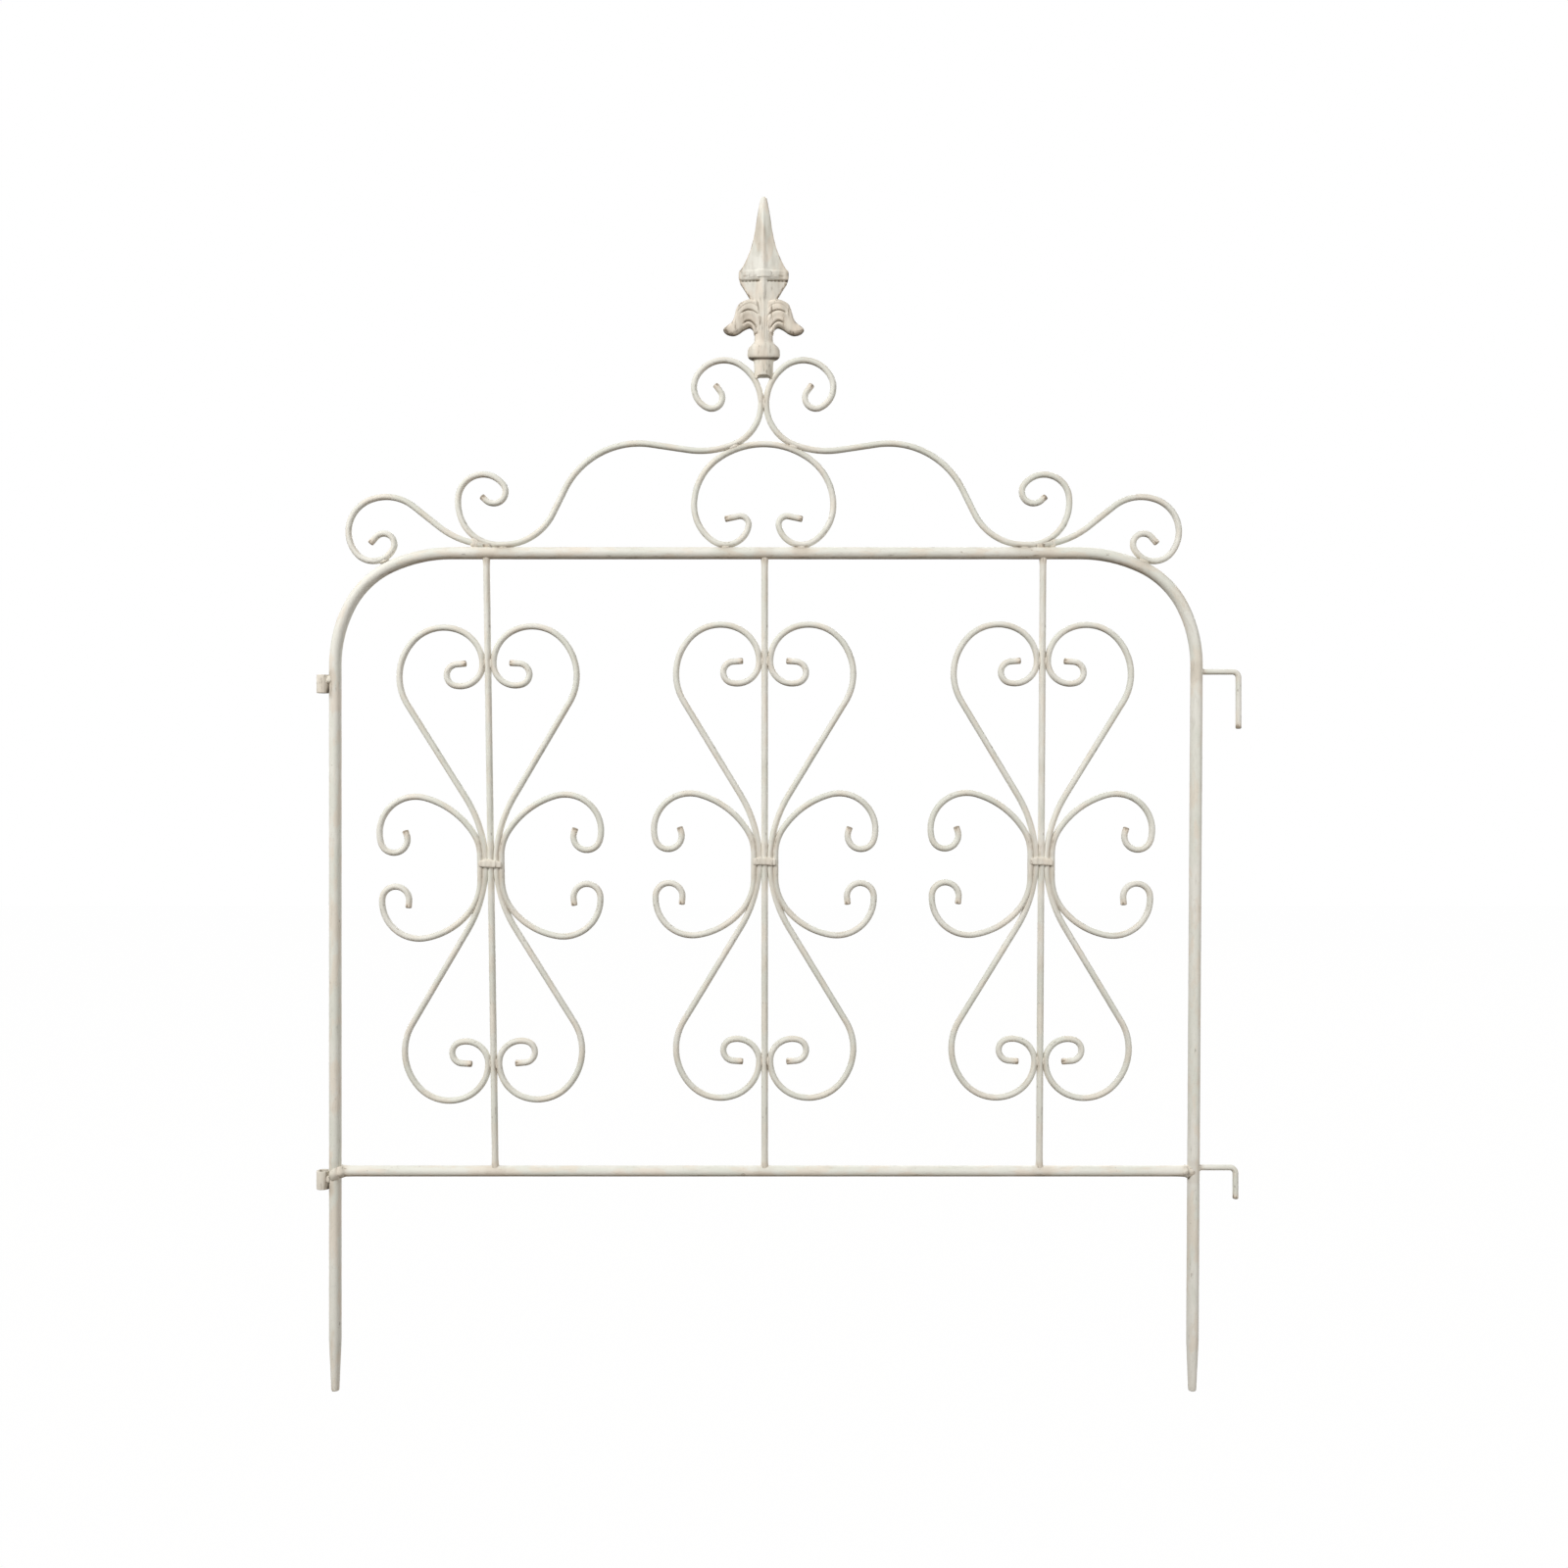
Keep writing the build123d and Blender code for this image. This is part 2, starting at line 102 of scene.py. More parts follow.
add_lamp("key_lamp", around=-50, height=34, distance=4.5, size=1.8, brightness=0.96)
add_lamp("fill_lamp", around=48, height=6, distance=4.2, size=2.4, brightness=0.49)
add_lamp("back_lamp", around=160, height=30, distance=4.2, size=2.4, brightness=0.60)

# %% [markdown]
# ## Node trees
# World, floor and paint are all trees of nodes. Setting each socket by hand takes a line, so the
# helpers here add a node with its settings and inputs in one go, and a tree reads like a formula.

# %% Small helpers for nodes
def put(tree, value, socket):
    """Links a socket, or sets a plain value."""
    if isinstance(value, bpy.types.NodeSocket):
        tree.links.new(value, socket)
    else:
        socket.default_value = value


def add_node(tree, kind, inputs=(), **settings):
    """A new node with its settings, and with its inputs, by name or number, linked or set."""
    made = tree.nodes.new("ShaderNode" + kind)
    for setting, value in settings.items():
        setattr(made, setting, value)
    for socket, value in dict(inputs).items():
        put(tree, value, made.inputs[socket])
    return made


def calc(tree, way, *values):
    """One sum with up to three values."""
    return add_node(tree, "Math", enumerate(values), operation=way).outputs[0]


def seen_directly(tree):
    """A socket that is 1 where the camera, a reflection or a look through glass meets the surface."""
    rays = add_node(tree, "LightPath").outputs
    either = calc(tree, "MAXIMUM", rays["Is Camera Ray"], rays["Is Glossy Ray"])
    return calc(tree, "MAXIMUM", either, rays["Is Transmission Ray"])


# %% The world
world_light = 0.12
world_tint = (1.0, 0.95, 0.87, 1)
world = bpy.data.worlds.new("world")
world.use_nodes = True
bpy.context.scene.world = world
tree = world.node_tree
tree.nodes.clear()
dim = add_node(tree, "Background", {"Color": world_tint, "Strength": world_light})
white = add_node(tree, "Background", {"Color": (1, 1, 1, 1)})
sky = add_node(tree, "MixShader", {0: seen_directly(tree), 1: dim.outputs[0], 2: white.outputs[0]})
add_node(tree, "OutputWorld", {"Surface": sky.outputs[0]})
print("world light", world_light)

# %% [markdown]
# ## The floor
# The picture has no floor line, so the floor is nearly all plain white to the camera, and keeps
# only a breath of the panel's shadow. To every other ray it is a dim matt floor, because the
# undersides of the rails are dark in the photograph: little light came back from below.

# %% The floor
floor_half = 6.0
floor_shadow_share = 0.05
floor_brown = (0.10, 0.075, 0.05, 1)
floor_glow = 1.045
floor_mesh = bpy.data.meshes.new("floor")
corner_sides = np.array([(-1, -1, 0), (1, -1, 0), (1, 1, 0), (-1, 1, 0)])
floor_mesh.from_pydata((floor_half * corner_sides).tolist(), [], [(0, 1, 2, 3)])
floor = bpy.data.objects.new("floor", floor_mesh)
bpy.context.scene.collection.objects.link(floor)
floor_paint = bpy.data.materials.new("pale_floor")
floor_paint.use_nodes = True
tree = floor_paint.node_tree
tree.nodes.clear()
matt = add_node(tree, "BsdfDiffuse", {"Color": floor_brown})
glow = add_node(tree, "Emission", {"Strength": floor_glow})
share = calc(tree, "MULTIPLY", seen_directly(tree), 1 - floor_shadow_share)
mixed = add_node(tree, "MixShader", {0: share, 1: matt.outputs[0], 2: glow.outputs[0]})
add_node(tree, "OutputMaterial", {"Surface": mixed.outputs[0]})
floor_mesh.materials.append(floor_paint)
print("floor is", 2 * floor_half, "m wide")

# %% [markdown]
# ## Sizes
# These are the panel's own sizes, the same as the solid model's. A bend is written as a radius
# and a turn in degrees, and a straight stretch as a radius of 0 and a length, the way a bending
# jig is set.

# %% Sizes of tube, rod and wire
tube_radius = 6.1
rail_radius = 5.3
upright_radius = 3.15
wire_radius = 2.8
pin_radius = 2.9
weld_bite = 0.35
top_rail_height = 854.4
bottom_rail_height = 224.0
frame_width = 874.0
right_leg_lean = 0.35
wire_on_tube = tube_radius + wire_radius - weld_bite
wire_on_upright = upright_radius + wire_radius - weld_bite
wire_on_wire = 2 * wire_radius - weld_bite
rest_height = top_rail_height + wire_on_tube
crest_offset = 0.1
crest_middle = frame_width / 2 + crest_offset
print("a wire on the top rail is at", round(rest_height, 1))

# %% [markdown]
# ## Fading and turning
# Swellings, dents, painted shade and wear all fade from one place to the next, for which three
# plain curves are enough. Two more helpers give angles round a circle and turn points by an angle.

# %% Curves and angles
def fade(value, start, end):
    """0 before start, 1 after end, and straight between."""
    return np.clip((value - start) / (end - start), 0, 1)


def fading(distance, reach):
    """1 up to a distance of 0, then less by a factor of e for each reach further."""
    return np.exp(-np.clip(distance, 0, None) / reach)


def hill(offset, half, power=2):
    """1 at an offset of 0, and 1 over e at half a width to each side."""
    return np.exp(-((offset / half) ** power))


def full_turn(count):
    """Equal angles round a full turn."""
    return np.linspace(0, 2 * pi, count, endpoint=False)


def leant(x, z, degrees):
    """Points turned about the origin from X towards Z, by the cosine and sine of the angle."""
    c, s = cos(radians(degrees)), sin(radians(degrees))
    return x * c - z * s, x * s + z * c


# %% [markdown]
# ## Walking along a bent wire
# Every rod in the panel lies in one plane and is made of straights and arcs. Blender could draw
# them as curves with a bevel, but a surface worked out ring by ring can also carry where it is
# worn and where shade is painted on. So the first helper walks the bends and gives the points on
# the wire's middle.

# %% Walking the bends
arc_step = 3.0
straight_step = 4.0


def trace(start, heading, bends):
    """Points and headings along bends. On a straight the point moves on by the length along the
    heading. On an arc with its centre one radius to the side, the point is the start plus the
    radius times the change of sine, and minus the radius times the change of cosine."""
    x, z = start
    h = radians(heading)
    xs, zs, hs = [np.array([x])], [np.array([z])], [np.array([h])]
    for radius, amount in bends:
        if radius == 0:
            along = np.linspace(0, amount, max(4, round(abs(amount) / straight_step)) + 1)
            px, pz, ph = x + along * cos(h), z + along * sin(h), np.full(len(along), h)
        else:
            ph = h + np.linspace(0, radians(amount), max(4, round(abs(amount) / arc_step)) + 1)
            side = copysign(radius, amount)
            px = x + side * (np.sin(ph) - sin(h))
            pz = z - side * (np.cos(ph) - cos(h))
        x, z, h = px[-1], pz[-1], ph[-1]
        xs.append(px[1:])
        zs.append(pz[1:])
        hs.append(ph[1:])
    return np.stack([np.concatenate(xs), np.concatenate(zs)], axis=1), np.concatenate(hs)


def turned(bends):
    """The same bends with their turns the other way."""
    return [(radius, amount if radius == 0 else -amount) for radius, amount in bends]


def flipped(path):
    """The same path on the other side of x = 0. Its headings become a half turn minus themselves."""
    points, headings = path
    return points * (-1, 1), pi - headings


def reversed_path(path):
    """The same path walked from its other end."""
    points, headings = path
    return points[::-1], headings[::-1] + pi


def joined(first, second):
    """One path after another that starts where the first ends."""
    return np.concatenate([first[0], second[0][1:]]), np.concatenate([first[1], second[1][1:]])


def placed(path, x, z, lean=0.0, pivot_drop=0.0):
    """A path lowered by a drop, leant about the origin by an angle, and moved to x and z."""
    points, headings = path
    leant_x, leant_z = leant(points[:, 0], points[:, 1] - pivot_drop, lean)
    return np.stack([leant_x + x, leant_z + z], axis=1), headings + radians(lean)


def distance_along(points):
    """How far along the path each of its points is."""
    steps = np.linalg.norm(np.diff(points, axis=0), axis=1)
    return np.concatenate([[0.0], np.cumsum(steps)])


# %% [markdown]
# ## The list of rods
# Each rod is kept as its path, its radius and its paint before any mesh is made, because painted
# shade goes where two rods touch, and that can only be found when all of them are known.

# %% The list of rods
rods = {}


def add_rod(name, path, radius, slot, hand=0.0):
    """Notes a rod. The radius may be one number or one for each point, and hand is how far a
    smith's bending leaves it out of the panel's plane."""
    points, headings = path
    along = distance_along(points)
    seed = len(rods) + 1.0
    sway = np.sin(along / 61 + 1.7 * seed) + 0.6 * np.sin(along / 29 + 3.1 * seed)
    middle = np.stack([points[:, 0], hand * sway, points[:, 1]], axis=1)
    radii = np.broadcast_to(np.asarray(radius, float), along.shape)
    rods[name] = {"middle": middle, "heading": headings, "radius": radii, "along": along, "slot": slot}


def add_pair(name, wire, hand, x, z=0.0, lean=0.0, pivot_drop=0.0):
    """Notes a bent wire and its mirror image, called right and left."""
    for which, path in (("left", flipped(wire)), ("right", wire)):
        path = placed(path, x, z, lean, pivot_drop)
        add_rod(f"{name}_{which}", path, wire_radius, "painted_wire", hand)


# %% [markdown]
# ## The hoop
# One tube makes both legs and the top rail. Its corners aren't true quarter circles: the bender
# eases in, turns tighter and eases out. The foot of each leg is hammered down to a blunt point.

# %% The hoop
corner = [(131.0, 27.0), (90.0, 38.0), (146.0, 25.0)]
point_length = 50.0
point_radius = 3.9
point_round = 1.6
corner_reach = trace((0, 0), 90, turned(corner))[0][-1]
leg_straight = top_rail_height - corner_reach[1]
right_corner_x = frame_width + tan(radians(right_leg_lean)) * leg_straight
top_straight = right_corner_x - 2 * corner_reach[0]
tip_and_point = [(0, point_round), (0, point_length - point_round)]
lead_out, tight, lead_in = reversed(corner)
right_corner = [(lead_out[0], lead_out[1] + right_leg_lean), tight, lead_in]
hoop_bends = tip_and_point + [(0, leg_straight - point_length)] + turned(corner)
hoop_bends += [(0, top_straight)] + turned(right_corner)
corner_end = trace((0, 0), 90, hoop_bends)[0][-1]
right_leg_length = corner_end[1] / cos(radians(right_leg_lean))
hoop_bends += [(0, right_leg_length - point_length)] + tip_and_point[::-1]
hoop_path = trace((0, 0), 90, hoop_bends)


def hoop_radius(path):
    """The tube's radius, less along the last 50 mm to each tip, and rounded off at the very end."""
    along = distance_along(path[0])
    to_tip = np.minimum(along, along[-1] - along)
    swaged = (point_radius, tube_radius - 0.1, tube_radius)
    taper = np.interp(to_tip, (0, point_length, point_length + 4), swaged)
    round_off = np.clip(point_round - to_tip, 0, None)
    return taper - (point_round - np.sqrt(point_round**2 - round_off**2))


add_rod("hoop", hoop_path, hoop_radius(hoop_path), "painted_tube")
print("hoop tube is", round(rods["hoop"]["along"][-1]), "mm long")


def right_leg_x(height):
    """The right leg leans outwards towards the top."""
    return frame_width + tan(radians(right_leg_lean)) * height


# %% [markdown]
# ## The bottom rail and the uprights
# The bottom rail is a thinner tube between the legs, and each bay hangs on one upright rod. The
# ends swell a little where the weld metal has run onto them.

# %% The bottom rail
rail_path = trace((0, bottom_rail_height), 0, [(0, right_leg_x(bottom_rail_height))])
rail_along = rail_path[0][:, 0]
from_leg = np.minimum(rail_along, rail_along[-1] - rail_along) - tube_radius
rail_swell = 0.9 * fading(from_leg, 3.5)
add_rod("bottom_rail", rail_path, rail_radius + rail_swell, "painted_tube")
print("bottom rail is", round(rail_along[-1]), "mm long")

# %% [markdown]
# ## The scrollwork of a bay
# A bay is two heart wires and two side scroll wires, bundled by a collar on the upright. One half
# heart leaves the collar, runs straight, swells into a lobe that comes back to the upright, and
# hooks in on itself. The straight is as long as it has to be for the lobe to touch the upright.

# %% Hearts and side scrolls
heart_slant = 31.3
heart_lead = [(130.0, -heart_slant)]
heart_lobe = [(54.0, 74.0), (42.5, 71.5), (37.0, 180 + heart_slant - 74.0 - 71.5)]
heart_hook = [(22.6, 105.0), (11.0, 161.0), (0, 9.0)]
lobe_end = trace((0, 0), 90, heart_lead + heart_lobe)[0][-1]
heart_leg = [(0, -lobe_end[0] / sin(radians(heart_slant)))]
heart_touch_height = trace((0, 0), 90, heart_lead + heart_leg + heart_lobe)[0][-1][1]
half_heart = heart_lead + heart_leg + heart_lobe + heart_hook
upper_side = [(0, 7.8), (45.0, -33.0), (85.1, -41.0), (36.8, -122.0), (13.7, -182.0), (0, 4.0)]
lower_side = [(0, 16.5), (52.0, -40.5), (74.0, -39.5), (38.0, -104.0), (13.7, -182.0), (0, 6.0)]


def double_ended(x, upper, lower):
    """One wire from its lower end, through the collar at z = 0, to its upper end."""
    down, down_headings = trace((x, 0), 90, lower)
    below = (down * (1, -1))[::-1], (pi - down_headings)[::-1]
    return joined(below, trace((x, 0), 90, upper))


heart = double_ended(wire_on_upright, half_heart, half_heart)
side = double_ended(wire_on_upright + wire_on_wire, upper_side, lower_side)
print("one heart wire has", len(heart[0]), "rings")

# %% The three bays
collar_rise = 1.0
leg_gap_share = 0.3725
middle_bay_offset = 1.1
bay_stances = ((-1, "left", 0.83, 2.4), (0, "middle", 0.0, 0.0), (1, "right", -0.35, 0.0))
bay_hand, crest_hand = 0.18, 0.12
collar_height = (top_rail_height + bottom_rail_height) / 2 + collar_rise
bay_reach = side[0][:, 0].max() + wire_radius
free_width = frame_width / 2 - tube_radius - 3 * bay_reach
bay_spacing = 2 * bay_reach + (1 - leg_gap_share) * free_width
upright_length = top_rail_height - bottom_rail_height
bays = {}
for number, bay, lean, drop in bay_stances:
    at = frame_width / 2 + middle_bay_offset + number * bay_spacing
    hang = top_rail_height - collar_height + drop
    bays[bay] = {"x": at, "lean": lean, "hang": hang}
    bar = trace((0, hang - upright_length), 90, [(0, upright_length)])
    up = bar[0][:, 1]
    swell = 0.7 * fading(np.minimum(up - up[0] - rail_radius, hang - tube_radius - up), 2.5)
    bar = placed(bar, at, top_rail_height, lean, hang)
    add_rod(f"{bay}_bay_upright", bar, upright_radius + swell, "painted_wire")
    for name, wire in (("heart", heart), ("scroll", side)):
        add_pair(f"{bay}_bay_{name}", wire, bay_hand, at, top_rail_height, lean, hang)
print(len(rods), "rods so far")

# %% [markdown]
# ## The crest
# A horseshoe wire stands on the middle of the top rail. From each side of it a long wire rises to
# meet its twin under the finial, and runs the other way down to the rail and into a lobe. An outer
# scroll sits on each shoulder of the hoop. The unknown lengths are worked out so that each wire
# rests on the tube below it.

# %% The horseshoe
crown_radius = 80.0
heel_turn = 180 - 36.3 - 54.0 - 55.5
horseshoe_down = [(crown_radius, -36.3), (58.0, -54.0), (44.0, -55.5), (23.5, -heel_turn)]
horseshoe_curl = [(23.5, heel_turn - 114.0), (8.5, -112.0), (0, 13.5)]
horseshoe_rest = trace((0, 0), 0, horseshoe_down)[0][-1]
horseshoe_crown = rest_height - horseshoe_rest[1]
half_shoe = trace((0, horseshoe_crown), 0, horseshoe_down + horseshoe_curl)
horseshoe = joined(reversed_path(flipped(half_shoe)), half_shoe)
horseshoe = placed(horseshoe, crest_middle, 0)
add_rod("crest_horseshoe", horseshoe, wire_radius, "painted_wire", crest_hand)
print("horseshoe crown at", round(horseshoe_crown, 1))

# %% The crest wires
weld_angle = 21.5
valley_angle = 8.5
hump_turn = 72.2
crown_centre = horseshoe_crown - crown_radius
weld_reach = crown_radius + wire_on_wire
weld_x = weld_reach * sin(radians(weld_angle))
weld_z = crown_centre + weld_reach * cos(radians(weld_angle))
pair_x = wire_on_wire / 2
climb_radius = (weld_x - pair_x) / (1 - sin(radians(weld_angle)))
climb = [(climb_radius, weld_angle - 90)]
curl_over = [(47.5, -52.0), (31.8, -98.5), (23.0, -94.0), (11.1, -152.0), (0, 7.6)]
upward = trace((weld_x, weld_z), 180 - weld_angle, climb + curl_over)
pair_height = trace((weld_x, weld_z), 180 - weld_angle, climb)[0][-1][1]
valley = [(90.0, weld_angle + valley_angle), (0, 38.0), (84.0, -hump_turn)]
heel = [(57.0, hump_turn - valley_angle)]
low_point = trace((weld_x, weld_z), -weld_angle, valley + heel)[0][-1]
fall = [(0, (low_point[1] - rest_height) / sin(radians(hump_turn - valley_angle)))]
crest_rest = trace((weld_x, weld_z), -weld_angle, valley + fall + heel)[0][-1]
lobe = [(0, 4.0), (41.0, 66.0), (48.0, 30.0), (25.5, 137.0), (12.0, 170.0), (0, 5.0)]
outward = trace((weld_x, weld_z), -weld_angle, valley + fall + heel + lobe)
crest_wire = joined(reversed_path(upward), outward)
add_pair("crest_wire", crest_wire, crest_hand, crest_middle)
print("crest wires meet at", round(pair_height, 1), "and rest at", round(crest_rest[0], 1))

# %% The outer scrolls
shoulder_slope = 25.0
shoulder = trace((0, 0), 0, [(lead_out[0], -shoulder_slope)])[0][-1]
shoulder_start = corner_reach[0] + top_straight - crest_middle
scroll_rest = (
    shoulder_start + shoulder[0] + wire_on_tube * sin(radians(shoulder_slope)),
    top_rail_height + shoulder[1] + wire_on_tube * cos(radians(shoulder_slope)),
)
toe = [(22.8, -37.5), (10.8, -166.0), (0, 8.0)]
flank = [(22.8, 76.5), (34.6, 107.0)]
slope_angle = 38.5
brow = [(45.0, 180 + slope_angle - (76.5 + 107.0 - shoulder_slope))]
landing = [(85.0, -slope_angle)]
landed = trace(scroll_rest, -shoulder_slope, flank + brow + landing)[0][-1]
run = [(0, (landed[1] - rest_height) / sin(radians(slope_angle)))]
landed = trace(scroll_rest, -shoulder_slope, flank + brow + run + landing)[0][-1]
overlap = [(0, landed[0] - crest_rest[0] - 20.0)]
inward = trace(scroll_rest, 180 - shoulder_slope, toe)
over = trace(scroll_rest, -shoulder_slope, flank + brow + run + landing + overlap)
outer_scroll = joined(reversed_path(inward), over)
add_pair("outer_scroll", outer_scroll, crest_hand, crest_middle)
print("outer scroll rests at", [round(v, 1) for v in scroll_rest])

# %% [markdown]
# ## Drop pins
# Each pin is an arm that sticks out of the right leg and turns down, so that it drops into the
# next panel's sleeve.

# %% Drop pins
sleeve_tops = {"upper": top_rail_height - 124.2, "lower": bottom_rail_height + 0.6}
pin_drops = {"upper": 57.0, "lower": 31.0}
pin_reach, pin_bend, pin_play = 43.0, 6.0, 0.2
arm_heights = {level: top + pin_play + pin_radius for level, top in sleeve_tops.items()}
for level, height in arm_heights.items():
    pin_bends = [(0, pin_reach - pin_bend), (pin_bend, -90.0), (0, pin_drops[level] - pin_bend)]
    pin = trace((right_leg_x(height), height), 0, pin_bends)
    add_rod(f"{level}_drop_pin", pin, pin_radius, "painted_wire")
print(len(rods), "rods in all")

# %% [markdown]
# ## Where shade is painted
# Corners between rods are painted darker, as painted shade. For each ring of a rod the nearest
# point of any other rod is found, and the side of the ring that faces it is marked as a crevice
# and painted darker. Undersides get painted shade too.

# %% Crevices between rods
sleeve_radius = 6.6
sleeve_height = 18.5
sleeve_x = -(tube_radius + sleeve_radius - weld_bite)


def all_other_points(name):
    """The middles and radii of every rod but one, with the sleeves on the left leg."""
    middles = [rod["middle"] for other, rod in rods.items() if other != name]
    radii = [rod["radius"] for other, rod in rods.items() if other != name]
    for top in sleeve_tops.values():
        z = np.linspace(top - sleeve_height, top, 9)
        middles.append(np.stack([np.full(9, sleeve_x), np.zeros(9), z], axis=1))
        radii.append(np.full(9, sleeve_radius))
    return np.concatenate(middles), np.concatenate(radii)


def nearest_neighbour(name):
    """For each ring, the gap to the nearest other rod and the direction towards it. The squared
    distance is the sum of both squares less twice their product."""
    middle = rods[name]["middle"]
    others, radii = all_other_points(name)
    square = (middle**2).sum(1)[:, None] + (others**2).sum(1)[None] - 2 * middle @ others.T
    gap = np.sqrt(np.clip(square, 0, None)) - radii
    nearest = gap.argmin(1)
    towards = others[nearest] - middle
    towards /= np.linalg.norm(towards, axis=1, keepdims=True) + 1e-9
    return gap.min(1) - rods[name]["radius"], towards


# %% [markdown]
# ## Turning rings into a mesh
# All surfaces here are stacks of rings: each ring is joined to the next by quads, and each end is
# closed by a fan to one point. The sign of the enclosed volume tells whether the faces look out.

# %% Skins
def bands(below, above):
    """Quads between rows of point numbers and the rows above them."""
    return np.stack([below, np.roll(below, -1, 1), np.roll(above, -1, 1), above], -1).reshape(-1, 4)


def skin(rings, loop=False):
    """Points and faces of stacked rings, with shape (rows, columns, 3). The rows close on
    themselves if loop is true, and otherwise each end is closed by a fan to its middle."""
    rows, columns = rings.shape[:2]
    ids = np.arange(rows * columns).reshape(rows, columns)
    below = ids if loop else ids[:-1]
    above = np.roll(ids, -1, axis=0) if loop else ids[1:]
    quads = bands(below, above)
    points = rings.reshape(-1, 3)
    fans = np.empty((0, 3), int)
    if not loop:
        poles = rows * columns + np.arange(2)
        points = np.concatenate([points, rings[0].mean(0)[None], rings[-1].mean(0)[None]])
        first = np.stack([np.full(columns, poles[0]), np.roll(ids[0], -1), ids[0]], 1)
        last = np.stack([np.full(columns, poles[1]), ids[-1], np.roll(ids[-1], -1)], 1)
        fans = np.concatenate([first, last])
    corners = points[quads]
    volume = np.einsum("ij,ij->", corners[:, 0], np.cross(corners[:, 1], corners[:, 2]))
    volume += np.einsum("ij,ij->", corners[:, 0], np.cross(corners[:, 2], corners[:, 3]))
    if volume < 0:
        quads = quads[:, ::-1]
        fans = fans[:, ::-1]
    return points, quads, fans


def merged(skins):
    """Several skins as one set of points and faces."""
    points, quads, fans, start = [], [], [], 0
    for some_points, some_quads, some_fans in skins:
        points.append(some_points)
        quads.append(some_quads + start)
        fans.append(some_fans + start)
        start += len(some_points)
    return np.concatenate(points), np.concatenate(quads), np.concatenate(fans)


def with_poles(values):
    """A value for each point of a skin, from values of shape (rows, columns) for its rings."""
    poles = [values[0].mean(0), values[-1].mean(0)]
    return np.concatenate([values.reshape(-1, *values.shape[2:]), np.stack(poles)])


# %% [markdown]
# ## Adding a piece to the scene
# A piece takes the place of its solid, follows the fence's one body and names the paint that it
# takes. Three values are stored on its points: its own grain direction, painted shade, and rubbed
# spots, which on tubes also carry a painted warm shade on the underside.

# %% Adding a piece
paints = {}
made_faces = 0


def add_piece(name, shape, slot, painted_shade, rub_and_shade, nodes=(), grain=None):
    """Makes a mesh object in place, with a painted shade, rub and grain value on each point; on tubes
    the rub value also carries painted warm shade. The grain of a piece that wasn't bent from wire runs
    up it."""
    global made_faces
    points, quads, fans = shape
    if grain is None:
        grain = points[:, [2, 0, 1]] * MM
    mesh = bpy.data.meshes.new(name)
    mesh.from_pydata((points * MM).tolist(), [], quads.tolist() + fans.tolist())
    mesh.polygons.foreach_set("use_smooth", np.ones(len(mesh.polygons), bool))
    attribute = mesh.attributes.new("grain", "FLOAT_VECTOR", "POINT")
    attribute.data.foreach_set("vector", grain.astype(np.float32).ravel())
    for mark, values in (("painted_shade", painted_shade), ("rub_and_shade", rub_and_shade)):
        attribute = mesh.attributes.new(mark, "FLOAT", "POINT")
        attribute.data.foreach_set("value", np.broadcast_to(values, len(points)).astype(np.float32))
    mesh.update()
    piece = bpy.data.objects.new(name, mesh)
    bpy.context.scene.collection.objects.link(piece)
    mesh.materials.append(paints[slot])
    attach(piece, "root")
    if nodes:
        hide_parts(*nodes)
    made_faces += 2 * len(quads) + len(fans)


# %% [markdown]
# ## The worn cream paint
# The real paint is an antique cream: ivory in some places, a little green-grey or rose in others,
# rubbed through to brown at ends, edges and welds, with some dust. Corners, grooves and undersides
# are painted darker as painted shade, in the dust colour and a dark brown. One node group makes
# this for tube, wire and casting, so all three age alike. The big drifts of tone read the object's
# own coordinates, and the fine streaks read the grain stored on each rod, so they run along it.

# %% Helpers for patterns
def noise(tree, vector, scale, detail, rough=0.55):
    """Soft noise around 0.5 with this many bumps to the metre, and finer ones by its detail."""
    inputs = {"Vector": vector, "Scale": scale, "Detail": detail, "Roughness": rough}
    return add_node(tree, "TexNoise", inputs).outputs["Fac"]


def ease(tree, value, low, high, start=0.0, end=1.0):
    """Start below low, end above high, and a smooth step between."""
    inputs = {"Value": value, "From Min": low, "From Max": high, "To Min": start, "To Max": end}
    return add_node(tree, "MapRange", inputs, interpolation_type="SMOOTHSTEP").outputs["Result"]


def tint(tree, factor, first, second):
    """A colour between two others. Sockets 6 and 7 are the mix node's two colours."""
    return add_node(tree, "Mix", {"Factor": factor, 6: first, 7: second}, data_type="RGBA").outputs[2]


def stretched(tree, vector, scale):
    """A place multiplied by a scale for each axis, so that a pattern is drawn out along one."""
    return add_node(tree, "Mapping", {"Vector": vector, "Scale": scale}).outputs[0]


# %% The worn paint as a node group
ivory = (0.845, 0.826, 0.762, 1)
green_grey = (0.750, 0.765, 0.682, 1)
rose_beige = (0.795, 0.702, 0.585, 1)
rubbed_brown = (0.215, 0.170, 0.120, 1)
dust_and_shade = (0.300, 0.255, 0.190, 1)
deep_shade = (0.085, 0.065, 0.045, 1)


